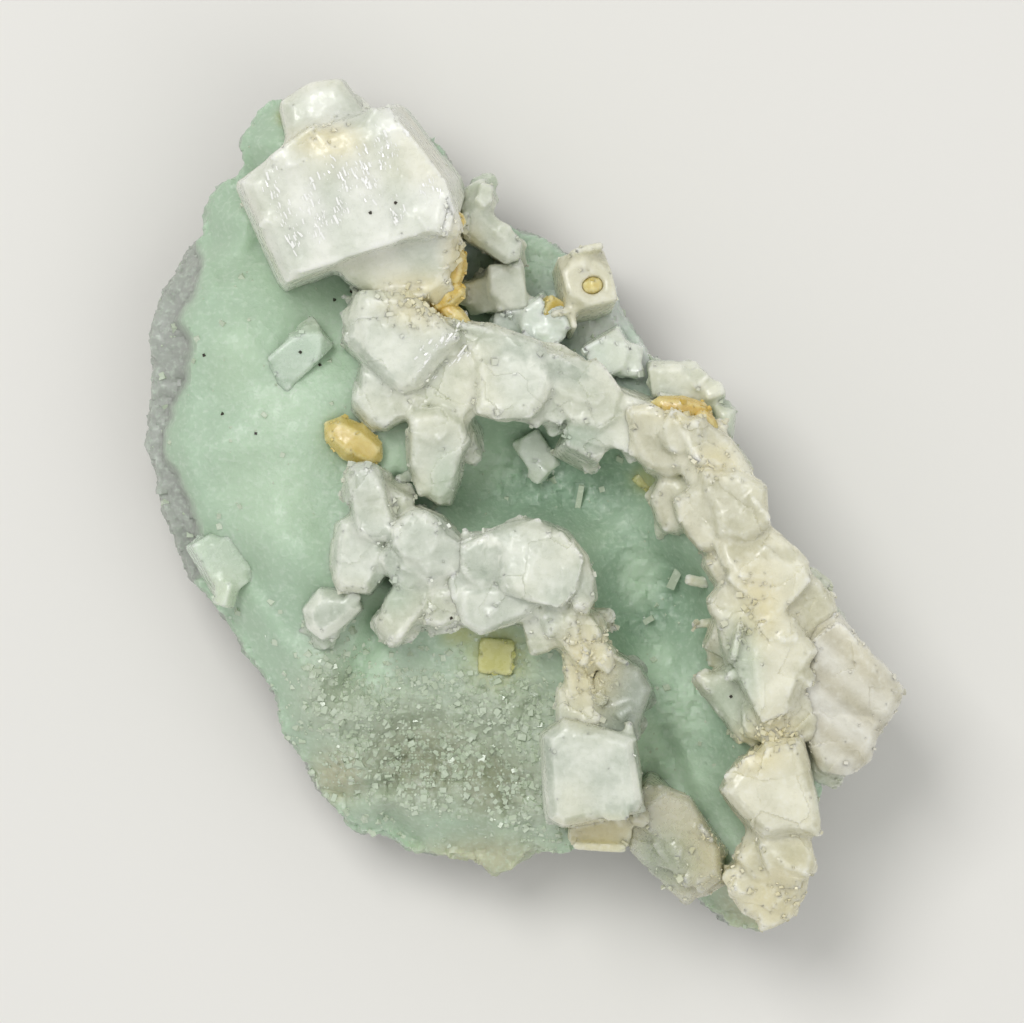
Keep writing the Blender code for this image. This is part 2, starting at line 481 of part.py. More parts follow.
def offset_ring(outline, distance):
    """A closed outline moved out by a distance, or in where it is negative."""
    points = np.array(outline)
    ahead = np.roll(points, -1, axis=0)
    area = np.sum(points[:, 0] * ahead[:, 1] - ahead[:, 0] * points[:, 1]) / 2.0
    run = ahead - points
    run = run / np.linalg.norm(run, axis=1, keepdims=True)
    outward = np.stack([run[:, 1], -run[:, 0]], axis=1) * np.sign(area)
    before = np.roll(outward, 1, axis=0)
    share = 1.0 + np.sum(outward * before, axis=1, keepdims=True)
    return points + distance * (outward + before) / np.maximum(share, 0.5)


def prism_mesh(prism, _seed):
    """The closed mesh of a Prism in millimetres, lofted from its foot to the rim and the top of its bevel."""
    middle = np.mean(prism.outline, axis=0)
    foot_level = prism.top - (prism.depth or root_depth(middle[0], middle[1], prism.top))
    work = bmesh.new()
    rings = []
    for spread, drop in ((prism.flare, None), (0.0, prism.chamfer), (-prism.chamfer, 0.0)):
        ring = []
        for x, y in offset_ring(prism.outline, spread):
            climb = (x - middle[0]) * prism.lean[0] + (y - middle[1]) * prism.lean[1]
            level = foot_level if drop is None else prism.top + climb - drop
            ring.append(work.verts.new((x, y, level)))
        rings.append(ring)
    for lower, upper in zip(rings, rings[1:]):
        for index in range(len(lower)):
            work.faces.new((lower[index - 1], lower[index], upper[index]))
            work.faces.new((lower[index - 1], upper[index], upper[index - 1]))
    work.faces.new(rings[0])
    work.faces.new(rings[-1])
    return work


def grain_mesh(grain, _seed):
    """The closed mesh of a Grain in millimetres."""
    work = bmesh.new()
    bmesh.ops.create_uvsphere(work, u_segments=6, v_segments=4, radius=0.5)
    bmesh.ops.rotate(work, matrix=Matrix.Rotation(math.pi / 2, 3, "Y"), verts=work.verts)
    bmesh.ops.scale(work, vec=(grain.length, grain.width, grain.height), verts=work.verts)
    turn = Euler((0.0, math.radians(grain.pitch), math.radians(grain.turn))).to_matrix().to_4x4()
    place = Matrix.Translation((grain.x, grain.y, grain.z)) @ turn
    bmesh.ops.transform(work, matrix=place, verts=work.verts)
    return work


def crystal_objects(name, crystals, grow, collection):
    """One object for each crystal of a group, with its skin moved out by grow, linked to a collection."""
    makers = {Block: block_mesh, Prism: prism_mesh, Grain: grain_mesh}
    objects = []
    for index, crystal in enumerate(crystals):
        work = makers[type(crystal)](crystal, f"{name} {index}")
        bmesh.ops.recalc_face_normals(work, faces=work.faces)
        work.normal_update()
        shift = {vertex: vertex.normal * vertex.calc_shell_factor() * grow for vertex in work.verts}
        for vertex, move in shift.items():
            vertex.co = (vertex.co + move) * MM
        mesh = bpy.data.meshes.new(f"{name}_{index}")
        work.to_mesh(mesh)
        work.free()
        item = bpy.data.objects.new(f"{name}_{index}", mesh)
        collection.objects.link(item)
        objects.append(item)
    return objects


def add_boolean(item, operation, collection):
    """Adds a Boolean modifier that works with all objects of a collection."""
    modifier = item.modifiers.new(operation.lower(), "BOOLEAN")
    modifier.operation = operation
    modifier.operand_type = "COLLECTION"
    modifier.collection = collection


def box_reach(objects):
    """Lowest and highest corner of a group of objects."""
    corners = [item.matrix_world @ Vector(corner) for item in objects for corner in item.bound_box]
    return Vector(map(min, zip(*corners))), Vector(map(max, zip(*corners)))


def boxes_meet(first, second):
    """Whether two groups' boxes overlap."""
    low_a, high_a = first
    low_b, high_b = second
    return all(low_a[axis] < high_b[axis] and low_b[axis] < high_a[axis] for axis in range(3))


def new_collection(name, parent):
    """A collection linked under a parent collection."""
    collection = bpy.data.collections.new(name)
    parent.children.link(collection)
    return collection


def hide_guides(objects):
    """Marks objects as cutters: drawn as wire, and not part of the model."""
    for item in objects:
        item.hide_render = True
        item.display_type = "WIRE"


def build_crust(model, sockets, ground, material):
    """The crust: a slab of the outline, remeshed, moved to its relief, thinned, and cut by its sockets."""
    curve = bpy.data.curves.new("outline", "CURVE")
    curve.dimensions = "2D"
    curve.fill_mode = "BOTH"
    curve.extrude = SLAB * MM / 2
    spline = curve.splines.new("POLY")
    spline.points.add(len(OUTLINE) - 1)
    for point, (x, y) in zip(spline.points, OUTLINE):
        point.co = (x * MM, y * MM, 0.0, 1.0)
    spline.use_cyclic_u = True
    outline = bpy.data.objects.new("outline", curve)
    model.objects.link(outline)
    mesh = evaluated_mesh(outline)
    bpy.data.objects.remove(outline)
    work = bmesh.new()
    work.from_mesh(mesh)
    bmesh.ops.remove_doubles(work, verts=work.verts, dist=0.00001)
    bmesh.ops.recalc_face_normals(work, faces=work.faces)
    work.to_mesh(mesh)
    work.free()

    crust = bpy.data.objects.new("prehnite_crust", mesh)
    model.objects.link(crust)
    remesh = crust.modifiers.new("grains", "REMESH")
    remesh.mode = "VOXEL"
    remesh.voxel_size = VOXEL * MM
    freeze(crust)

    count = len(crust.data.vertices)
    points = np.empty(count * 3)
    crust.data.vertices.foreach_get("co", points)
    points = points.reshape(count, 3) / MM
    x, y, level = points.T
    up = np.clip(level / SLAB + 0.5, 0.0, 1.0)
    side = 1.0 - smooth_step(edge_distance(x, y) / VOXEL)
    shake_x = SIDE_ROUGH * side * lattice_noise(x, y, level, 2.6, 5)
    shake_y = SIDE_ROUGH * side * lattice_noise(x, y, level, 2.6, 6)
    back = crust_back(x, y)
    points[:, 2] = back + (crust_top(x, y) - back) * up
    points[:, 0] = x + shake_x
    points[:, 1] = y + shake_y
    crust.data.vertices.foreach_set("co", (points * MM).ravel())

    thin = crust.modifiers.new("thin", "DECIMATE")
    thin.ratio = CRUST_TRIANGLES / (2 * len(crust.data.polygons))
    thin.use_collapse_triangulate = True
    freeze(crust)
    add_boolean(crust, "DIFFERENCE", ground)
    freeze(crust)
    add_boolean(crust, "DIFFERENCE", sockets)
    freeze(crust)
    merge_flat_faces(crust.data)
    crust.data.materials.clear()
    crust.data.materials.append(material)
    return crust


def build_group(name, crystals, model, guides, material):
    """One crystal group: its crystals joined in one solid, and the grown copies that cut its neighbours."""
    solids = crystal_objects(name, crystals, 0.0, model)
    sockets = new_collection(f"{name}_socket", guides)
    grown = crystal_objects(name, crystals, GAP, sockets)
    hide_guides(grown)
    first = solids[0]
    if len(solids) > 1:
        rest = new_collection(f"{name}_parts", guides)
        for item in solids[1:]:
            model.objects.unlink(item)
            rest.objects.link(item)
        add_boolean(first, "UNION", rest)
        freeze(first)
        for item in list(rest.objects):
            bpy.data.objects.remove(item)
        bpy.data.collections.remove(rest)
    merge_flat_faces(first.data)
    first.name = name
    first.data.materials.clear()
    first.data.materials.append(material)
    return first, sockets


def main():
    """Builds the crystal groups in order, cuts each by those before it, then the crust by all of them."""
    for item in list(bpy.data.objects):
        bpy.data.objects.remove(item)
    root = bpy.context.scene.collection
    model = new_collection("prehnite_specimen", root)
    guides = new_collection("cutters", root)
    stone = make_material(*PREHNITE)
    white = make_material(*APOPHYLLITE)
    honey = make_material(*CALCITE)

    ground = new_collection("ground", guides)
    bpy.ops.mesh.primitive_cube_add(size=1.0, location=(0.0, 0.0, -0.5))
    floor = bpy.context.object
    for holder in list(floor.users_collection):
        holder.objects.unlink(floor)
    ground.objects.link(floor)
    hide_guides([floor])

    placed = []
    order = sorted(GROUPS, key=lambda name: not name.startswith("calcite"))
    for name in order:
        material = honey if name.startswith("calcite") else white
        solid, socket = build_group(name, GROUPS[name], model, guides, material)
        bpy.context.view_layer.update()
        reach = box_reach(socket.objects)
        for _, earlier_socket, earlier_reach in placed:
            if boxes_meet(reach, earlier_reach):
                add_boolean(solid, "DIFFERENCE", earlier_socket)
                freeze(solid)
                merge_flat_faces(solid.data)
        placed.append((solid, socket, reach))

    every_socket = new_collection("sockets", guides)
    for _, socket, _ in placed:
        for item in socket.objects:
            every_socket.objects.link(item)
    build_crust(model, every_socket, ground, stone)


main()
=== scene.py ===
"""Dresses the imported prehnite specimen, and sets its floor, lights and camera.

A mint prehnite crust carries milky apophyllite blocks and small honey calcites. The tables hold
millimetres: X to the specimen's right, Y towards its big block, Z up out of the crystal face.
"""

import logging
import math
from collections.abc import Iterator
from contextlib import contextmanager
from dataclasses import dataclass, replace
from enum import Enum
from functools import partial
from itertools import product

import bmesh
import bpy
import numpy as np
from bpy.types import Material, Mesh, Object
from mathutils import Euler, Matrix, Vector
from mathutils.bvhtree import BVHTree


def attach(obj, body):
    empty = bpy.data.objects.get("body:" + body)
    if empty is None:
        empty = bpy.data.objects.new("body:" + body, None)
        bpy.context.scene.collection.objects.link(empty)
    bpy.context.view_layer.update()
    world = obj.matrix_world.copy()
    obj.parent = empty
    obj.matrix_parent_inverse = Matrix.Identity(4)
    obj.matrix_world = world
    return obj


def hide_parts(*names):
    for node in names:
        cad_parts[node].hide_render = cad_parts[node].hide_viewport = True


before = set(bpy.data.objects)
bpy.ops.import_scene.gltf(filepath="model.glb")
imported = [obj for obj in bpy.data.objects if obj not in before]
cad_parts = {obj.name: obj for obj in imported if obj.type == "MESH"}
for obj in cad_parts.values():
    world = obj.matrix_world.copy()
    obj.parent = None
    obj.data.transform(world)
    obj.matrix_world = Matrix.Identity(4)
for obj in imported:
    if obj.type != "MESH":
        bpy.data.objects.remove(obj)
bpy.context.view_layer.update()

LOG = logging.getLogger("specimen")
Array = np.ndarray
MM = 0.001
BODY = "root"
# Where rays start over the solids and over the dressed pieces, in metres, and which way they go
ABOVE_SOLIDS = 1.0
ABOVE_PIECES = 0.1
DOWN = Vector((0.0, 0.0, -1.0))
# Faces that meet at more than this are shaded with a sharp edge between them
CREASE_DEGREES = 26.0
# A wave texture has about this many waves over the length that its scale stands for
WAVES_PER_SCALE = 6.3
# How the big block's stripes lie, in degrees from X
BAND_TURN = -68.0
# Half width of a dark speck in millimetres
SPECK_HALF = 0.09
# Large odd factors that scatter the numbers of the noises' cells
SCATTER = (374761393, 668265263, 2147483647, 1274126177, 1103515245)

# The crust's outline seen from above, clockwise from the notch at its left
OUTLINE = [
    (-27.3, 4.4), (-26.7, 7.6), (-26.6, 10.1), (-26.9, 12.4), (-26.2, 14.7), (-25.1, 16.9), (-24.4, 18.5),
    (-22.9, 19.6), (-22.9, 21.6), (-21.6, 23.3), (-20.2, 23.6), (-19.9, 25.3), (-20.2, 26.3), (-19.4, 27.9),
    (-18.3, 29.2), (-17.1, 29.0), (-14.7, 29.1), (-12.4, 28.1), (-8.9, 27.7), (-6.1, 25.8), (-4.9, 22.9),
    (-3.3, 21.3), (-1.6, 20.3), (0.9, 19.6), (2.7, 18.3), (5.4, 17.7), (6.3, 15.8), (7.4, 13.4),
    (8.9, 11.0), (11.1, 9.6), (13.0, 7.6), (14.0, 4.4), (16.0, 1.1), (17.4, -2.1), (19.6, -4.9),
    (21.3, -7.4), (23.0, -10.3), (24.1, -13.5), (23.1, -16.6), (21.3, -19.2), (20.3, -23.1), (19.4, -27.1),
    (17.2, -30.6), (15.0, -30.2), (12.6, -28.2), (10.3, -27.3), (9.1, -25.4), (7.7, -24.3), (5.4, -23.7),
    (2.7, -24.9), (0.8, -24.7), (-0.9, -26.0), (-2.3, -26.5), (-3.1, -25.4), (-6.0, -25.1), (-8.5, -24.7),
    (-9.9, -23.7), (-11.7, -23.6), (-13.3, -22.1), (-14.9, -20.4), (-15.8, -18.5), (-17.2, -16.1),
    (-17.9, -13.5), (-19.4, -11.4), (-20.3, -9.7), (-21.6, -8.0), (-22.9, -6.0), (-24.1, -4.7),
    (-25.1, -2.1), (-26.1, 0.6), (-26.7, 2.9),
]

# Heights of the grown surface at chosen spots: x, y, z
SPOTS = [
    (-18.5, 5.4, 17.4), (-19.5, 11.0, 16.6), (-15.0, 8.0, 17.0), (-21.5, 1.0, 15.6), (-16.5, -1.5, 16.8),
    (-20.0, 15.5, 15.0), (-21.5, -5.5, 13.6), (-17.0, -7.5, 15.0), (-13.5, -2.0, 16.2), (-11.5, 4.0, 15.6),
    (-14.0, 13.0, 14.6), (-23.0, 8.0, 15.0), (-21.5, 20.5, 12.4), (-19.0, 19.0, 13.2), (-18.6, 26.2, 14.2),
    (-15.0, 23.0, 15.0), (-10.0, 21.0, 15.4), (-12.5, 15.6, 13.6), (-8.0, 25.0, 14.6), (-4.0, 17.5, 8.8),
    (0.5, 16.5, 8.2), (4.0, 15.5, 8.8), (-1.5, 13.5, 8.8), (3.5, 11.5, 9.4), (7.0, 11.0, 10.0),
    (9.5, 8.2, 11.0), (-8.5, 11.0, 16.8), (-7.5, 6.0, 16.2), (-1.5, 9.0, 16.8), (3.5, 7.8, 16.6),
    (7.5, 5.5, 16.4), (-3.0, 2.5, 10.0), (0.5, 4.0, 10.0), (3.5, 2.0, 10.4), (7.0, 0.5, 10.8),
    (-3.5, -0.8, 10.6), (6.5, -4.5, 10.6), (9.5, -7.0, 10.0), (9.5, -10.0, 9.8), (11.5, -13.5, 11.4),
    (12.5, -17.5, 11.4), (9.8, -19.5, 9.6), (13.0, -21.0, 11.0), (14.8, -24.5, 11.2), (11.0, 4.4, 17.2),
    (12.8, -1.0, 16.6), (15.5, -1.5, 17.6), (16.5, -6.0, 17.6), (17.8, -11.0, 17.4), (17.4, -16.0, 16.4),
    (21.5, -10.0, 15.2), (22.0, -15.0, 13.8), (18.5, -20.0, 16.0), (18.5, -25.5, 14.2), (16.5, -28.5, 10.0),
    (11.0, -25.5, 10.6), (-10.5, 0.5, 17.0), (-11.5, -4.0, 17.0), (-7.0, -3.0, 17.2), (-7.5, -7.5, 16.6),
    (-2.0, -4.5, 17.0), (2.5, -4.5, 17.2), (2.8, -10.0, 16.4), (6.0, -13.5, 15.6), (4.5, -18.5, 15.4),
    (5.5, -22.5, 13.0), (-14.0, -11.0, 14.8), (-10.5, -10.5, 13.6), (-13.0, -15.0, 13.8),
    (-6.5, -12.0, 14.4), (-2.0, -11.5, 14.4), (-8.5, -17.5, 12.4), (-4.5, -17.5, 12.6), (0.8, -15.0, 13.4),
    (-1.0, -20.0, 12.6), (-6.0, -22.0, 11.6), (-11.0, -20.0, 11.8),
]

# Rounded lumps and hollows: x, y, radius, rise
LUMPS = [
    (-19.2, 12.6, 3.4, 0.9), (-17.2, -3.8, 3.2, 0.8), (-22.0, 4.2, 2.6, 0.6), (-14.6, 3.6, 2.6, 0.5),
    (-18.8, 26.0, 1.6, 1.2), (-21.4, 20.9, 1.5, 0.8), (-14.8, -13.6, 2.2, 1.0), (-11.0, -14.8, 1.9, 0.9),
    (-5.0, -11.0, 2.0, 0.8), (-1.6, -14.2, 1.8, 0.8), (1.0, -18.0, 2.0, 0.9), (-4.2, -20.8, 2.2, 0.9),
    (-9.0, -21.4, 1.8, 0.9), (-12.6, -18.8, 1.7, 0.8), (7.4, -1.6, 2.4, 0.7), (12.6, -10.4, 2.2, 0.8),
    (10.0, -14.6, 2.0, 0.7), (2.2, 3.2, 1.8, 0.5), (13.8, -19.6, 2.0, 0.7), (-8.6, -18.2, 2.4, -1.2),
    (8.8, -10.0, 1.8, -0.9), (9.4, -20.2, 1.6, -1.0), (-10.3, -7.6, 1.3, -1.6), (-9.3, -4.6, 1.0, -1.6),
]

# Grooves and ledges: from x, y to x, y, half width, depth
GROOVES = [
    (-10.2, -8.6, -13.2, -13.4, 0.9, 1.7), (-19.0, 18.6, -21.6, 16.8, 0.8, 0.8),
    (-9.0, 1.6, -7.0, -0.6, 0.8, 2.2), (-12.8, -16.6, -6.0, -15.6, 0.7, 0.6),
    (-2.6, -16.4, -1.0, -22.0, 0.7, 0.7), (-13.6, -20.6, -9.6, -20.0, 0.6, 0.9),
    (-9.8, -22.2, -8.0, -24.2, 0.8, 1.4), (-16.8, -8.8, -19.6, -4.6, 0.8, 0.5),
    (10.2, -16.2, 12.4, -22.6, 0.7, 0.8),
]

# The inner line of the broken terrace along the left edge, as y and x
TERRACE_Y = [-6.0, -4.6, -1.8, 0.4, 4.0, 7.2, 9.0, 11.2, 13.3, 15.4, 17.6, 19.4]
TERRACE_X = [-24.0, -23.2, -23.6, -23.9, -25.7, -25.5, -24.3, -23.9, -24.4, -23.9, -23.2, -23.6]


class Zone(Enum):
    """A stretch of the crust with a colour and a grain of its own, in the order of their colours; some of
    these colours are painted light, as noted where the zones lie.
    """

    PALE = "pale"
    DRUSE = "druse"
    OLIVE = "olive"
    BASIN = "basin"
    RECESS = "recess"
    SHADE = "shade"
    SNOW = "snow"
    GLOW = "glow"
    CREAM = "cream"
    RIM = "rim"


# Where each zone lies, as soft ellipses: x, y, half length along X and along Y
ZONE_SPOTS = {
    Zone.BASIN: [
        (2.0, 2.0, 8.5, 4.2), (8.5, -6.5, 4.5, 5.5), (12.0, -14.5, 3.5, 4.5), (9.4, -19.0, 1.8, 3.0),
    ],
    Zone.RECESS: [(-1.5, 17.5, 5.0, 3.5), (3.5, 14.0, 5.0, 4.5), (7.5, 10.0, 3.5, 2.5)],
    Zone.DRUSE: [
        (-8.0, -17.0, 7.5, 5.5), (-2.0, -15.0, 5.5, 4.5), (-13.0, -14.0, 3.5, 4.0), (1.0, -20.0, 4.0, 4.0),
    ],
    Zone.OLIVE: [(-7.0, -18.5, 4.2, 3.2), (-2.5, -20.0, 3.0, 3.0)],
    Zone.CREAM: [
        (9.4, -25.2, 2.4, 1.8), (17.0, -28.5, 3.5, 3.0), (-3.0, -25.5, 5.0, 1.8), (-13.5, -19.5, 2.0, 2.0),
    ],
    # Painted light: a pale green over the troughs, the hollows, the recess and the crust under the big
    # block, where they lie in shade
    Zone.SHADE: [
        (-14.6, 12.0, 2.6, 3.6), (-11.2, -10.6, 1.8, 2.8), (-10.6, -6.2, 1.4, 2.4), (-9.6, 2.0, 1.6, 2.2),
        (-3.4, 3.4, 3.0, 2.4), (9.0, -18.4, 1.8, 3.4), (9.6, -11.6, 1.6, 2.6), (-1.0, 17.6, 3.4, 2.2),
        (11.8, -14.4, 2.2, 3.6), (11.4, -19.6, 2.2, 3.0), (8.4, -5.2, 1.6, 2.4), (15.2, -24.4, 1.8, 2.2),
    ],
    # Partly painted light: whitish snowy mottles, made paler to lift the shade in the recess
    Zone.SNOW: [(5.6, 13.4, 2.0, 2.6), (8.6, 10.6, 2.4, 1.6), (6.0, 16.0, 1.4, 1.6), (12.2, 8.4, 1.6, 1.2)],
    # A honey tint under the skin, and on the knob at the top left a painted yellow-green glint
    Zone.GLOW: [
        (-1.9, -10.6, 2.2, 2.2), (-17.0, 28.0, 0.8, 0.7), (9.0, 1.9, 1.3, 1.1), (-4.6, -9.2, 1.4, 0.9),
    ],
    Zone.PALE: [(-20.5, 10.0, 2.4, 3.2), (-18.5, 1.5, 3.6, 5.0), (-17.5, 7.0, 3.0, 3.0)],
}

# Beige and yellow stains on the apophyllite: x, y, half length along X and along Y
STAIN_SPOTS = [
    (4.6, -11.2, 2.4, 4.0), (13.5, 3.2, 1.6, 1.2), (18.2, -16.0, 1.4, 1.2), (16.6, -17.0, 2.0, 2.2),
    (-7.2, 14.6, 3.0, 2.0), (-4.4, 17.4, 1.4, 3.0), (12.6, -25.2, 3.4, 2.4), (18.2, -28.0, 2.6, 2.6),
    (5.6, -23.4, 3.0, 1.2), (16.4, -7.4, 1.6, 3.0), (11.6, 6.8, 2.6, 1.0), (-14.0, 26.0, 2.6, 1.2),
]

# Where the apophyllite is broken and crumpled
ROUGH_SPOTS = [
    (4.4, -11.4, 2.0, 3.8), (-4.6, 17.6, 1.4, 2.6), (18.4, -16.4, 1.4, 1.4), (-9.0, 13.6, 2.2, 0.9),
]

# Painted glints: bright slivers along the cleavage of the upper ridge
SLIVER_SPOTS = [(-5.9, 11.2, 1.5, 0.9), (-6.8, 10.2, 0.6, 1.4), (-5.0, 12.2, 0.8, 0.6)]

# Where the apophyllite is thin enough for the green under it to show
VEIL_SPOTS = [
    (15.3, -11.6, 1.6, 3.6), (14.4, -14.2, 2.2, 2.6), (9.8, -25.4, 2.6, 2.4), (21.4, -20.4, 0.6, 1.6),
    (-9.4, -6.2, 1.6, 1.6), (3.4, 5.0, 2.2, 0.9), (-5.6, 1.4, 1.2, 2.4),
]

# Where the big block's stripes catch the light, as soft ellipses
FLECK_SPOTS = [
    (-17.8, 22.6, 0.5, 1.0), (-17.1, 21.1, 0.5, 1.0), (-16.2, 19.4, 0.6, 1.2), (-15.3, 21.9, 0.6, 1.2),
    (-14.6, 20.4, 0.6, 1.2), (-12.8, 22.6, 0.6, 1.4), (-11.4, 24.0, 0.7, 1.4), (-10.9, 22.7, 0.6, 1.0),
    (-13.1, 20.8, 0.5, 0.8), (-8.3, 26.9, 0.6, 0.6), (-9.9, 25.1, 0.8, 1.2), (-6.6, 22.6, 0.6, 1.0),
    (-9.0, 20.6, 0.5, 1.0), (-14.0, 24.0, 0.6, 0.9),
]

# Planes that trim a group to its true outline: x, y, z of a point and the outward direction
TRIMS = {
    "apophyllite_big_block": [
        ((-6.7, 25.8, 16.0), (0.78, 0.62, 0.1)), ((-4.9, 23.6, 16.0), (0.94, 0.3, 0.1)),
    ],
}

# Small crystals too slight for the solids: x, y, z, half length, half width, turn and lean in degrees
SPLINTERS = {
    "apophyllite_upper_ridge": [
        (4.8, 3.2, 12.0, 0.9, 0.28, -70, 25), (7.7, 3.6, 12.4, 0.6, 0.35, 60, 30),
        (-3.4, 3.6, 12.6, 0.8, 0.2, 70, 40), (-12.2, 14.6, 16.4, 1.0, 0.16, 150, 15),
        (-12.4, 13.6, 16.2, 0.9, 0.14, 165, 20), (-12.0, 12.6, 16.4, 1.0, 0.16, 200, 15),
        (-11.8, 15.2, 15.6, 0.8, 0.14, 140, 20), (-8.6, 2.0, 15.6, 0.7, 0.3, 200, 30),
        (-6.4, 1.6, 15.4, 0.8, 0.25, 240, 30), (2.0, 9.8, 17.2, 0.7, 0.25, 80, 30),
    ],
    "apophyllite_round_cluster": [
        (-4.7, -5.2, 16.6, 0.8, 0.7, 20, 20), (-4.6, -6.6, 16.2, 0.7, 0.5, 60, 30),
        (1.5, -7.2, 16.2, 0.7, 0.6, 40, 20), (5.2, -7.9, 15.2, 0.7, 0.25, 20, 30),
        (6.0, -8.6, 15.0, 0.6, 0.2, -30, 30), (4.0, -10.0, 15.4, 0.5, 0.35, 70, 50),
        (4.6, -12.0, 15.2, 0.5, 0.3, 110, 40), (3.2, -9.4, 15.6, 0.5, 0.3, 10, 50),
        (4.0, -13.4, 15.0, 0.45, 0.3, 60, 40),
    ],
    "apophyllite_right_ridge": [
        (9.4, 3.4, 14.6, 0.8, 0.2, 200, 20), (12.4, -5.4, 15.0, 0.8, 0.3, 170, 15),
        (13.0, -8.4, 14.6, 0.9, 0.2, 190, 20), (16.9, 1.6, 15.8, 0.7, 0.3, 40, 20),
        (18.9, -3.6, 15.6, 0.7, 0.3, 30, 20), (19.2, -6.6, 17.4, 1.2, 0.9, 60, 10),
        (20.0, -8.6, 17.2, 1.1, 0.8, 100, 15), (20.2, -11.4, 17.0, 1.1, 0.9, 80, 20),
        (19.8, -14.2, 16.6, 1.1, 0.8, 95, 10), (18.6, -16.6, 16.6, 1.1, 0.9, 40, 20),
        (20.6, -6.0, 15.2, 1.2, 0.9, 50, 20),
    ],
    "prehnite_crust": [
        (4.0, 0.6, 11.0, 1.0, 0.2, 80, 25), (10.9, -5.1, 11.4, 0.95, 0.3, 65, 25),
        (-4.6, -0.6, 10.9, 0.3, 0.3, 20, 10), (6.6, -9.0, 10.8, 0.5, 0.12, 75, 30),
        (6.0, -10.4, 11.0, 0.5, 0.1, 95, 20), (9.0, -8.2, 10.4, 0.4, 0.2, 30, 20),
        (10.2, -3.0, 11.4, 0.3, 0.25, 50, 20), (12.8, -12.4, 11.8, 0.4, 0.15, 70, 30),
    ],
}

# Broad flat crystals: most slope of a top, how far its sides go down, its bevel's height and the
# share of the outline inside the bevel
SLAB_SLOPE = 0.3
SLAB_DEPTH = 3.0
SLAB_BEVEL = 0.5
SLAB_TOP = 0.84

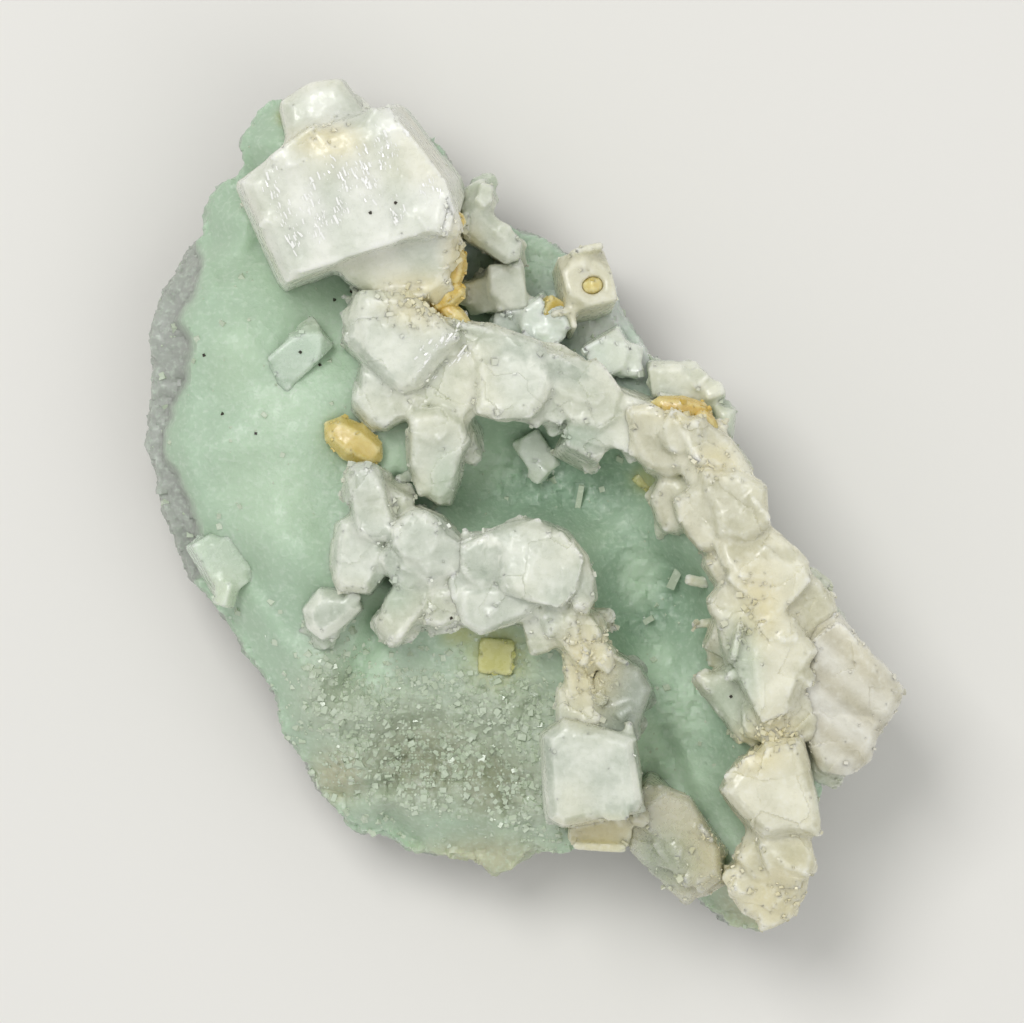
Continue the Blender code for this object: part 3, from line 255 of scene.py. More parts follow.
# Broad flat crystals laid on the groups: how far each top stands over the solid, then its outline
# as x, y, x, y
SLABS = {
    "apophyllite_upper_ridge": [
        (0.47, -11.6, 15.3, -8.3, 15.1, -7.1, 14.4, -5.6, 12.9, -4.7, 12.0, -6.0, 11.0, -7.1, 9.6, -7.8,
         8.4, -8.7, 8.1, -9.9, 9.0, -11.0, 10.1, -11.6, 11.5, -11.9, 13.3),
        (0.23, -11.6, 9.9, -9.9, 9.0, -8.7, 8.1, -7.6, 7.6, -8.0, 6.7, -9.0, 6.3, -9.9, 5.6, -10.6, 5.8,
         -11.6, 6.9, -12.1, 7.7, -11.7, 8.6),
        (0.32, -5.6, 11.5, -4.7, 12.0, -3.9, 11.1, -3.3, 10.3, -3.1, 7.9, -4.4, 6.1, -6.0, 6.9, -7.1, 7.6,
         -7.6, 8.4, -6.9, 9.7),
        (0.41, -4.4, 13.1, -2.4, 12.9, -0.6, 12.2, 1.1, 11.7, 1.5, 10.8, 2.0, 9.4, 1.5, 7.6, 0.4, 6.4, -1.7,
         6.3, -3.3, 6.7, -3.3, 10.1, -3.9, 11.1, -4.6, 12.1),
        (0.23, 1.5, 11.0, 4.0, 10.6, 4.6, 9.7, 5.4, 8.6, 6.0, 7.6, 5.4, 7.0, 4.4, 7.2, 2.6, 7.9, 1.7, 8.6),
        (0.35, -8.1, 6.5, -6.0, 6.9, -4.4, 6.1, -3.9, 4.7, -4.7, 3.3, -5.1, 1.1, -6.0, 0.2, -6.9, 0.8, -7.6,
         1.9, -8.1, 2.9, -8.0, 4.7),
        (0.23, 2.9, 7.6, 5.4, 7.0, 7.2, 6.9, 7.9, 5.4, 7.2, 4.4, 5.4, 4.1, 4.4, 4.4, 3.4, 5.8),
    ],
    "apophyllite_centre_cluster": [
        (0.47, -12.6, 2.0, -12.3, 2.9, -11.1, 3.1, -10.4, 2.0, -10.0, 1.1, -9.4, -1.1, -9.4, -2.3, -10.9,
         -2.4, -11.7, -2.1, -12.1, -0.3),
        (0.29, -13.0, -1.1, -12.0, -0.7, -11.3, -2.1, -10.3, -2.6, -10.4, -3.9, -10.9, -5.4, -11.3, -6.1,
         -13.1, -6.0, -13.5, -5.1, -13.3, -2.4),
        (0.11, -10.0, 1.3, -8.4, 0.6, -8.5, -0.3, -9.0, -1.1, -9.4, -1.7, -9.7, 0.1),
        (0.59, -9.4, -1.7, -8.7, -0.9, -8.0, -0.4, -7.1, -0.4, -6.1, -1.3, -5.9, -1.9, -6.3, -3.3, -7.4,
         -4.0, -8.7, -3.7, -9.4, -2.8),
        (0.35, -5.9, -1.9, -4.9, -2.4, -4.3, -3.0, -4.1, -4.0, -4.7, -5.1, -6.0, -4.7, -7.1, -4.9, -7.6,
         -4.1, -6.3, -3.3),
        (0.11, -8.7, -3.7, -7.4, -4.0, -7.1, -5.1, -8.1, -6.0, -9.2, -5.4, -9.7, -4.6, -10.4, -3.6, -9.6,
         -3.0),
        (0.41, -9.9, -6.7, -9.0, -5.4, -7.8, -5.1, -6.4, -5.6, -6.7, -7.1, -8.0, -8.3, -8.9, -9.6, -9.6,
         -9.9, -10.4, -8.3),
        (0.23, -7.1, -5.1, -4.9, -4.9, -4.4, -6.0, -4.3, -8.0, -6.0, -8.7, -7.1, -8.3, -6.7, -7.1, -6.4,
         -5.9),
    ],
    "apophyllite_round_cluster": [
        (0.05, 2.4, -13.0, 5.6, -13.1, 5.9, -15.4, 4.0, -15.8, 2.4, -15.6),
        (0.15, -5.3, -4.6, -3.9, -4.3, -3.3, -5.9, -3.9, -7.1, -5.1, -6.7),
        (0.35, -4.5, -2.8, -3.5, -2.4, -2.6, -1.9, -1.7, -2.8, -1.9, -4.9, -3.1, -6.0, -4.3, -5.1, -4.6,
         -3.9),
        (0.65, -2.6, -1.9, -1.5, -1.4, 0.0, -1.1, 1.5, -1.6, 2.7, -1.9, 3.4, -2.8, 4.1, -3.7, 3.6, -6.0,
         2.6, -7.1, 0.4, -6.7, -1.4, -6.0, -1.9, -4.9, -1.7, -3.1),
        (0.17, 3.4, -2.4, 4.4, -3.6, 4.9, -5.1, 4.9, -6.7, 4.4, -7.6, 3.6, -7.3, 3.9, -5.6, 3.8, -4.0),
        (0.41, -4.6, -5.9, -3.1, -5.7, -1.4, -6.0, 0.6, -6.9, 0.4, -7.6, -1.7, -8.4, -3.1, -9.0, -4.3, -8.3,
         -4.7, -7.4),
        (0.35, 1.5, -6.9, 3.6, -7.3, 4.0, -9.6, 4.7, -10.6, 4.6, -11.7, 3.6, -11.0, 2.9, -9.9, 2.2, -8.5,
         1.1, -8.0),
        (0.17, 0.1, -9.0, 0.8, -7.6, 1.7, -8.3, 2.4, -9.6, 1.7, -10.3, 0.6, -10.6),
        (0.23, 3.6, -7.1, 5.3, -7.8, 5.4, -9.6, 6.5, -10.4, 5.8, -11.6, 4.7, -11.0, 4.1, -9.6),
    ],
    "apophyllite_right_ridge": [
        (0.29, 7.4, 7.0, 9.0, 7.2, 10.3, 6.4, 11.1, 4.7, 11.9, 3.3, 11.1, 2.6, 9.4, 2.6, 8.3, 3.3, 7.7, 4.7),
        (0.41, 10.3, 6.4, 12.6, 6.1, 14.7, 4.7, 15.6, 3.4, 15.7, 2.6, 14.0, 2.7, 12.2, 3.1, 11.5, 4.4),
        (0.11, 9.9, 1.9, 11.0, 1.9, 11.9, 0.8, 11.1, 0.1, 10.6, -1.0, 11.0, -1.9, 9.7, -1.1, 9.3, 0.1, 9.4,
         1.1),
        (0.35, 10.8, 0.4, 12.4, 1.4, 13.1, 0.4, 13.6, -1.7, 13.4, -3.0, 12.6, -3.1, 11.7, -2.1, 11.1, -0.9),
        (0.47, 12.6, 2.7, 15.4, 2.4, 17.2, 1.4, 17.3, -1.4, 15.8, -2.4, 13.9, -2.1, 13.4, 0.1, 12.6, 1.1),
        (0.35, 13.6, -2.4, 15.8, -2.4, 17.6, -1.6, 19.0, -2.8, 20.1, -3.9, 20.3, -4.9, 18.3, -4.2, 16.9,
         -5.3, 15.1, -5.3, 14.1, -4.0),
        (0.23, 13.0, -3.9, 14.1, -4.0, 15.1, -5.3, 14.4, -5.9, 13.6, -5.1),
        (0.41, 13.1, -6.7, 14.1, -5.6, 15.8, -5.3, 16.9, -6.0, 17.0, -7.1, 15.4, -8.3, 14.1, -8.3, 13.4,
         -7.6),
        (0.47, 17.2, -4.9, 19.4, -4.6, 21.1, -5.4, 22.3, -7.4, 22.0, -8.3, 20.3, -9.6, 19.0, -8.1, 17.6,
         -7.1),
        (0.32, 16.5, -8.0, 17.9, -7.1, 19.4, -8.5, 20.8, -10.3, 19.7, -11.9, 19.0, -13.9, 17.6, -15.4, 16.7,
         -14.9, 16.3, -12.4, 16.1, -10.3),
        (0.11, 13.9, -8.3, 15.4, -8.3, 15.8, -9.9, 16.1, -11.4, 14.6, -11.1, 14.1, -9.9),
        (0.11, 12.6, -12.4, 14.0, -11.9, 15.8, -11.6, 16.3, -13.1, 16.5, -15.3, 16.1, -16.7, 15.4, -16.6,
         14.6, -14.9, 13.4, -13.5),
        (0.35, 17.6, -15.4, 19.0, -13.9, 20.8, -13.1, 21.9, -14.9, 20.8, -16.4, 19.0, -17.1, 17.2, -16.9,
         16.7, -15.3),
    ],
    "apophyllite_wedge_block": [
        (-0.4, 19.9, -16.4, 21.9, -15.9, 22.3, -19.2, 20.8, -20.1, 20.0, -18.3),
        (0.41, 20.6, -9.6, 22.4, -8.3, 24.1, -9.9, 25.8, -11.6, 27.1, -13.1, 26.4, -14.7, 25.1, -16.4, 24.7,
         -18.1, 23.1, -19.2, 21.3, -18.9, 20.6, -17.1, 20.1, -14.9, 19.7, -13.1, 20.3, -11.0),
    ],
    "apophyllite_foot_cluster": [
        (0.3, 8.4, -21.4, 9.7, -20.1, 11.9, -21.0, 12.9, -22.6, 14.0, -24.6, 14.1, -26.7, 12.6, -27.6, 11.9,
         -26.0, 10.1, -24.2, 8.6, -23.1),
        (0.15, 7.7, -22.1, 8.6, -21.4, 10.1, -24.2, 9.7, -26.0, 8.6, -25.6, 7.7, -24.6),
        (0.3, 9.7, -24.6, 11.9, -25.9, 12.4, -27.8, 11.7, -28.5, 10.3, -27.4, 9.6, -26.1),
    ],
    "apophyllite_foot_blocks": [
        (0.35, 14.2, -20.3, 15.1, -19.2, 15.8, -18.0, 16.9, -17.8, 17.2, -16.9, 19.6, -16.6, 20.1, -18.1,
         20.8, -21.0, 21.1, -23.5, 19.7, -23.3, 19.0, -23.1, 17.2, -23.5, 15.8, -22.1),
        (0.25, 16.9, -23.7, 19.0, -23.1, 20.3, -23.7, 20.6, -25.3, 20.3, -26.4, 18.6, -25.9, 17.6, -24.9),
        (0.15, 14.6, -26.9, 15.8, -26.6, 17.6, -26.4, 18.3, -27.4, 17.6, -29.0, 15.8, -29.2, 15.1, -28.1),
        (0.3, 17.2, -25.9, 19.0, -25.9, 20.1, -27.1, 19.7, -27.8, 18.6, -28.1, 17.9, -27.4),
        (0.2, 17.0, -28.1, 18.3, -27.8, 19.2, -28.5, 19.2, -29.4, 17.9, -30.1, 17.0, -30.4, 16.7, -29.2),
    ],
}

# Dark and rusty specks, mostly on the dome: x, y
SPECK_SPOTS = [
    (-13.6, 14.8), (-22.9, 10.8), (-14.6, 10.1), (-21.6, 6.6), (-9.1, 21.5), (-10.9, 20.8), (-16.0, 11.0),
    (-19.2, 5.2), (-12.4, 15.4), (-5.2, -8.0), (14.8, -13.6),
]


def to_linear(code: str) -> tuple[float, float, float, float]:
    """Turns an sRGB hex colour to linear RGBA.

    Args:
        code: The colour as "#RRGGBB".

    Returns:
        Linear red, green and blue, and an alpha of 1.
    """
    parts = [int(code[start : start + 2], 16) / 255 for start in (1, 3, 5)]
    linear = [part / 12.92 if part <= 0.04045 else ((part + 0.055) / 1.055) ** 2.4 for part in parts]
    return (*linear, 1.0)


def per_mm(size: float) -> float:
    """Scale of a texture whose grain is this many millimetres, in metre coordinates."""
    return 1.0 / (size * MM)


def new_material(name: str) -> Material:
    """A new material with a Principled shader."""
    material = bpy.data.materials.new(name)
    material.use_nodes = True
    return material


def set_shader(material: Material, settings: dict, links: dict) -> None:
    """Sets a material's Principled shader.

    Args:
        material: The material.
        settings: Values that are the same all over, by input name.
        links: Output sockets by the input name they go to.
    """
    shader = material.node_tree.nodes["Principled BSDF"]
    for name, value in settings.items():
        shader.inputs[name].default_value = value
    for name, socket in links.items():
        material.node_tree.links.new(socket, shader.inputs[name])


def add_node(tree: bpy.types.NodeTree, kind: str, settings: dict, links: dict) -> bpy.types.Node:
    """Adds a node with its settings and the sockets that feed it.

    Args:
        tree: The node tree.
        kind: The node's type name.
        settings: Values by property name, or else by input name or number.
        links: Output sockets by the input name or number they go to.

    Returns:
        The node.
    """
    node = tree.nodes.new(kind)
    for key, value in settings.items():
        if isinstance(key, str) and hasattr(node, key):
            setattr(node, key, value)
        else:
            node.inputs[key].default_value = value
    for key, socket in links.items():
        tree.links.new(socket, node.inputs[key])
    return node


def smooth_step(value: Array) -> Array:
    """0 below 0, 1 above 1 and an S curve between."""
    held = np.clip(value, 0.0, 1.0)
    return held * held * (3.0 - 2.0 * held)


def cell_value(cell_x: Array, cell_y: Array, cell_z: Array, seed: int) -> Array:
    """A fixed number from -1 to 1 for each whole-numbered cell and seed."""
    key = cell_x * SCATTER[0] + cell_y * SCATTER[1]
    key = key + cell_z * SCATTER[2] + seed * SCATTER[3]
    key = (key ^ (key >> 13)) * SCATTER[4]
    return ((key ^ (key >> 16)) & 0xFFFF) / 32767.5 - 1.0


def lattice_noise(x: Array, y: Array, z: Array, cell: float, seed: int) -> Array:
    """Smooth noise over places in millimetres.

    Args:
        x, y, z: The places.
        cell: Grain size in millimetres.
        seed: Which noise.

    Returns:
        Values from -1 to 1.
    """
    places = [np.asarray(axis, dtype=float) / cell for axis in (x, y, z)]
    corners = [np.floor(place).astype(np.int64) for place in places]
    fractions = [place - corner for place, corner in zip(places, corners)]
    weights = [part * part * (3.0 - 2.0 * part) for part in fractions]
    total = 0.0
    for step in product((0, 1), repeat=3):
        value = cell_value(corners[0] + step[0], corners[1] + step[1], corners[2] + step[2], seed)
        share = 1.0
        for weight, side in zip(weights, step):
            share = share * (weight if side else 1.0 - weight)
        total = total + value * share
    return total


def near_cells(x: Array, y: Array, cell: float, seed: int, layers: int) -> Iterator[tuple]:
    """Goes through the square cells around places.

    Args:
        x, y: Places in millimetres.
        cell: Width of a cell in millimetres.
        seed: Which layout.
        layers: How many fixed numbers each cell has.

    Yields:
        The way from the cell's middle to the places along X and Y, in cells, and the cell's numbers.
    """
    place_x, place_y = (np.asarray(axis, dtype=float) / cell for axis in (x, y))
    base_x, base_y = (np.floor(place).astype(np.int64) for place in (place_x, place_y))
    for step_x, step_y in product((-1, 0, 1), repeat=2):
        cell_x, cell_y = base_x + step_x, base_y + step_y
        draw = [cell_value(cell_x, cell_y, np.full_like(cell_x, layer), seed) for layer in range(layers)]
        yield place_x - cell_x - 0.5, place_y - cell_y - 0.5, draw


def facet_noise(x: Array, y: Array, cell: float, seed: int) -> Array:
    """Relief of overlapping tilted square crystals, seen from above.

    Args:
        x, y: Places in millimetres.
        cell: Mean distance between crystals in millimetres.
        seed: Which layout.

    Returns:
        Heights from about 0 to 1.
    """
    best = np.full(np.shape(x), -9.0)
    for way_x, way_y, draw in near_cells(x, y, cell, seed, 6):
        away_x, away_y = way_x - 0.45 * draw[0], way_y - 0.45 * draw[1]
        angle = draw[2] * math.pi
        along = away_x * np.cos(angle) + away_y * np.sin(angle)
        across = away_y * np.cos(angle) - away_x * np.sin(angle)
        rim = np.maximum(np.abs(along), np.abs(across)) - 0.36
        height = 0.6 + 0.35 * draw[3] + 0.5 * (along * draw[4] + across * draw[5])
        best = np.maximum(best, height - 2.2 * np.maximum(rim, 0.0))
    return np.clip(best, 0.0, 1.3)


def shard_noise(points: Array, cell: float, seed: int) -> Array:
    """Relief of small flat facets at odd tilts, in space.

    Args:
        points: Places in millimetres, one row each.
        cell: Mean width of a facet in millimetres.
        seed: Which layout.

    Returns:
        Heights from about -1 to 1.
    """
    places = (points / cell).T
    corners = np.floor(places).astype(np.int64)
    nearest = np.full(len(points), 9.0)
    relief = np.zeros(len(points))
    for step in product((-1, 0, 1), repeat=3):
        at = [corner + side for corner, side in zip(corners, step)]
        draw = [cell_value(*at, seed + 17 * layer) for layer in range(7)]
        away = [axis - corner - 0.5 - 0.42 * shift for axis, corner, shift in zip(places, at, draw)]
        reach = sum(part * part for part in away)
        height = 0.4 * draw[3] + sum(part * tilt for part, tilt in zip(away, draw[4:]))
        closer = reach < nearest
        nearest = np.where(closer, reach, nearest)
        relief = np.where(closer, height, relief)
    return relief


def lump_noise(x: Array, y: Array, cell: float, seed: int) -> Array:
    """Relief of small rounded lumps side by side, seen from above, from 0 to about 1."""
    best = np.zeros(np.shape(x))
    for way_x, way_y, draw in near_cells(x, y, cell, seed, 3):
        away = np.hypot(way_x - 0.4 * draw[0], way_y - 0.4 * draw[1])
        radius = 0.62 + 0.2 * draw[2]
        best = np.maximum(best, radius * np.sqrt(np.clip(1.0 - (away / radius) ** 2, 0.0, 1.0)))
    return best


def segment_distance(x: Array, y: Array, start: tuple, end: tuple) -> Array:
    """Distance from places to the line from start to end."""
    run = np.subtract(end, start)
    along = ((x - start[0]) * run[0] + (y - start[1]) * run[1]) / float(run @ run)
    along = np.clip(along, 0.0, 1.0)
    return np.hypot(x - start[0] - along * run[0], y - start[1] - along * run[1])


def edge_distance(x: Array, y: Array) -> Array:
    """Distance from places to the crust's outline."""
    nearest = np.full(np.shape(x), np.inf)
    for start, end in zip(OUTLINE, OUTLINE[1:] + OUTLINE[:1]):
        nearest = np.minimum(nearest, segment_distance(x, y, start, end))
    return nearest


def soft_spots(x: Array, y: Array, spots: list[tuple]) -> Array:
    """How far places are in a set of soft ellipses, from 0 to 1."""
    total = np.zeros(np.shape(x))
    for spot_x, spot_y, reach_x, reach_y in spots:
        away = ((x - spot_x) / reach_x) ** 2 + ((y - spot_y) / reach_y) ** 2
        total = np.maximum(total, np.exp(-(away**1.5)))
    return total


def read_points(mesh: Mesh) -> Array:
    """A mesh's points in millimetres, one row each."""
    points = np.empty(len(mesh.vertices) * 3)
    mesh.vertices.foreach_get("co", points)
    return points.reshape(-1, 3) / MM


def write_points(mesh: Mesh, points: Array) -> None:
    """Puts points in millimetres back into a mesh."""
    mesh.vertices.foreach_set("co", (points * MM).ravel())
    mesh.update()


def read_normals(mesh: Mesh) -> Array:
    """A mesh's point normals, one row each."""
    normals = np.empty(len(mesh.vertices) * 3)
    mesh.vertex_normals.foreach_get("vector", normals)
    return normals.reshape(-1, 3)


def edge_ends(mesh: Mesh) -> tuple[Array, Array]:
    """The point numbers at both ends of a mesh's edges."""
    ends = np.empty(len(mesh.edges) * 2, dtype=np.int64)
    mesh.edges.foreach_get("vertices", ends)
    return ends[0::2], ends[1::2]


def neighbour_mean(ends: tuple[Array, Array], values: Array) -> Array:
    """The mean of the values at each point's neighbours along the mesh's edges."""
    first, second = ends
    size = len(values)
    count = np.bincount(first, minlength=size) + np.bincount(second, minlength=size)
    columns = values.reshape(size, -1).T
    means = [
        (np.bincount(first, column[second], size) + np.bincount(second, column[first], size)) / count
        for column in columns
    ]
    return np.array(means).T.reshape(values.shape)


def fill_crevices(mesh: Mesh, rounds: int) -> Array:
    """Fills the hollows between crystals and leaves their outer edges sharp.

    Args:
        mesh: The mesh, changed in place.
        rounds: How often each hollow is drawn level with what is round it.

    Returns:
        How far each point came up, in millimetres.
    """
    ends = edge_ends(mesh)
    points = read_points(mesh)
    start = points.copy()
    for turn in range(rounds):
        if turn % 8 == 0:
            write_points(mesh, points)
            normals = read_normals(mesh)
        pull = neighbour_mean(ends, points) - points
        hollow = np.sum(pull * normals, axis=1) > 0.0
        points = points + 0.8 * pull * hollow[:, None]
    write_points(mesh, points)
    return np.linalg.norm(points - start, axis=1)


def close_cracks(item: Object, voxel: float, reach: float) -> None:
    """Closes cracks up to twice the reach wide by swelling the skin, joining it and drawing it back.

    Args:
        item: The object, changed in place.
        voxel: Grain of the skin in millimetres.
        reach: How far the skin swells in millimetres.
    """
    write_points(item.data, read_points(item.data) + reach * read_normals(item.data))
    remeshed(item, voxel, 0)
    write_points(item.data, read_points(item.data) - reach * read_normals(item.data))


@contextmanager
def edited(mesh: Mesh) -> Iterator[bmesh.types.BMesh]:
    """Opens a mesh for editing and writes it back."""
    work = bmesh.new()
    work.from_mesh(mesh)
    yield work
    work.to_mesh(mesh)
    work.free()


def drop_loose(mesh: Mesh) -> None:
    """Keeps the largest island of a mesh and removes the bits that hang loose beside it."""
    start, end = edge_ends(mesh)
    island = np.arange(len(mesh.vertices))
    while True:
        joined = island.copy()
        lowest = np.minimum(island[start], island[end])
        np.minimum.at(joined, island[start], lowest)
        np.minimum.at(joined, island[end], lowest)
        joined = joined[joined]
        if np.array_equal(joined, island):
            break
        island = joined
    largest = np.argmax(np.bincount(island))
    with edited(mesh) as work:
        work.verts.ensure_lookup_table()
        loose = [work.verts[index] for index in np.flatnonzero(island != largest).tolist()]
        bmesh.ops.delete(work, geom=loose, context="VERTS")


def set_mask(mesh: Mesh, name: str, values: Array) -> None:
    """Stores one number for each point, for the material to read."""
    layer = mesh.attributes.get(name) or mesh.attributes.new(name, "FLOAT", "POINT")
    layer.data.foreach_set("value", np.clip(values, 0.0, 1.0).astype(np.float32))


def get_mask(mesh: Mesh, name: str) -> Array:
    """The numbers stored for each point under a name, 0 where there are none."""
    values = np.zeros(len(mesh.vertices), dtype=np.float32)
    if name in mesh.attributes:
        mesh.attributes[name].data.foreach_get("value", values)
    return values


def join_meshes(mesh: Mesh, other: Mesh) -> None:
    """Adds another mesh's closed bodies to a mesh."""
    with edited(mesh) as work:
        work.from_mesh(other)


def solid_copy(node: str) -> Mesh:
    """A copy of a node's mesh, without its materials."""
    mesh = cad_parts[node].data.copy()
    mesh.materials.clear()
    return mesh


def solid_tree(node: str) -> BVHTree:
    """A node's mesh as a tree, to find places on it."""
    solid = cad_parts[node].data
    polygons = [tuple(polygon.vertices) for polygon in solid.polygons]
    return BVHTree.FromPolygons([vert.co for vert in solid.vertices], polygons)


def evaluated_mesh(item: Object) -> Mesh:
    """The mesh of an object with its modifiers, as a new mesh."""
    bpy.context.view_layer.update()
    graph = bpy.context.evaluated_depsgraph_get()
    return bpy.data.meshes.new_from_object(item.evaluated_get(graph))


def add_object(name: str, data: bpy.types.ID) -> Object:
    """A new object in the scene."""
    item = bpy.data.objects.new(name, data)
    bpy.context.scene.collection.objects.link(item)
    return item


def apply_modifiers(item: Object) -> Mesh:
    """Gives an object the mesh that its modifiers make, shaded smooth."""
    mesh = evaluated_mesh(item)
    item.modifiers.clear()
    item.data = mesh
    mesh.shade_smooth()
    return mesh


def thinned(item: Object, keep: float) -> None:
    """Thins an object's mesh where it is flat.

    Args:
        item: The object, changed in place.
        keep: The share of its triangles to keep.
    """
    item.modifiers.new("thin", "DECIMATE").ratio = keep
    apply_modifiers(item).set_sharp_from_angle(angle=math.radians(CREASE_DEGREES))


def remeshed(item: Object, voxel: float, relax: int) -> None:
    """Turns an object's mesh into one even skin.

    Args:
        item: The object, changed in place.
        voxel: Grain of the skin in millimetres.
        relax: How many times the skin is smoothed.
    """
    remesh = item.modifiers.new("skin", "REMESH")
    remesh.mode = "VOXEL"
    remesh.voxel_size = voxel * MM
    if relax:
        smooth = item.modifiers.new("relax", "SMOOTH")
        smooth.factor = 0.5
        smooth.iterations = relax
    apply_modifiers(item)


def place(item: Object, materials: list, slot: str, nodes: list[str]) -> None:
    """Gives a piece its materials, fixes it to the body and hides the nodes it stands for."""
    for material in materials:
        item.data.materials.append(material)
    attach(item, BODY)
    if nodes:
        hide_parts(*nodes)
    LOG.info("%s: %d points", item.name, len(item.data.vertices))


def top_point(pieces: list[Object], x: float, y: float) -> tuple[float, float, float]:
    """The highest point of the pieces at a place, in millimetres."""
    highest = 0.0
    for item in pieces:
        hit, spot, _, _ = item.ray_cast(Vector((x * MM, y * MM, ABOVE_PIECES)), DOWN)
        if hit:
            highest = max(highest, spot.z / MM)
    return x, y, highest


def random_turns(draw: np.random.Generator, count: int) -> Array:
    """Random rotation matrices, one for each of count crystals."""
    quats = draw.normal(size=(count, 4))
    w, x, y, z = (quats / np.linalg.norm(quats, axis=1, keepdims=True)).T
    rows = [
        [1 - 2 * (y * y + z * z), 2 * (x * y - z * w), 2 * (x * z + y * w)],
        [2 * (x * y + z * w), 1 - 2 * (x * x + z * z), 2 * (y * z - x * w)],
        [2 * (x * z - y * w), 2 * (y * z + x * w), 1 - 2 * (x * x + y * y)],
    ]
    return np.array(rows).transpose(2, 0, 1)


def box_cloud(name: str, places: Array, sizes: Array, turns: Array) -> Mesh:
    """One mesh of many small closed blocks.

    Args:
        name: The mesh's name.
        places: Middle of each block in millimetres.
        sizes: Half length, width and height of each block in millimetres.
        turns: A rotation matrix for each block.

    Returns:
        The mesh, in metres.
    """
    corners = np.array(list(product((-1, 1), repeat=3)), dtype=float)
    sides = [(0, 1, 3, 2), (4, 6, 7, 5), (0, 4, 5, 1), (2, 3, 7, 6), (0, 2, 6, 4), (1, 5, 7, 3)]
    local = corners[None] * sizes[:, None]
    points = np.einsum("nij,nkj->nki", turns, local) + places[:, None]
    faces = (np.array(sides)[None] + 8 * np.arange(len(places))[:, None, None]).reshape(-1, 4)
    mesh = bpy.data.meshes.new(name)
    mesh.from_pydata((points.reshape(-1, 3) * MM).tolist(), [], faces.tolist())
    return mesh


def splinter_mesh(rows: list[tuple]) -> Mesh:
    """Slim closed blocks from rows of a splinter table."""
    places = np.array([row[:3] for row in rows], dtype=float)
    sizes = np.array([(length, width, 0.6 * width) for *_, length, width, _, _ in rows])
    turns = np.array([
        Euler((0.0, -math.radians(lean), math.radians(turn))).to_matrix() for *_, turn, lean in rows
    ])
    return box_cloud("splinters", places, sizes, turns)


def slab_mesh(node: str, rows: list[tuple]) -> Mesh:
    """Makes broad flat crystals whose tops follow the solid under them.

    Args:
        node: The CAD object that they lie on.
        rows: For each crystal how far its top stands over the solid, and its outline, in millimetres.

    Returns:
        A mesh of closed blocks with bevelled tops.
    """
    tree = solid_tree(node)
    verts, faces = [], []
    for rise, *outline in rows:
        rim = np.reshape(outline, (-1, 2))
        middle = rim.mean(axis=0)
        hits = []
        for share in (0.1, 0.35, 0.6, 0.85):
            for x, y in middle + (rim - middle) * share:
                spot = tree.ray_cast(Vector((x * MM, y * MM, ABOVE_SOLIDS)), DOWN)[0]
                if spot is not None:
                    hits.append((x - middle[0], y - middle[1], spot.z / MM))
        hits = np.array(hits)
        level = np.percentile(hits[:, 2], 60)
        slope = np.linalg.lstsq(hits[:, :2], hits[:, 2] - level, rcond=None)[0]
        slope = np.clip(slope, -SLAB_SLOPE, SLAB_SLOPE)
        start, count = len(verts), len(rim)
        for share, drop in ((1.0, SLAB_DEPTH), (1.0, SLAB_BEVEL), (SLAB_TOP, 0.0)):
            ring = middle + (rim - middle) * share
            heights = level + rise + (ring - middle) @ slope - drop
            verts += [tuple(point) for point in np.column_stack([ring, heights]) * MM]
        faces.append(list(range(start, start + count)))
        faces.append(list(range(start + 3 * count - 1, start + 2 * count - 1, -1)))
        for low in (start, start + count):
            for index in range(count):
                after = (index + 1) % count
                faces.append([low + index, low + count + index, low + count + after, low + after])
    mesh = bpy.data.meshes.new(node + "_slabs")
    mesh.from_pydata(verts, [], faces)
    return mesh


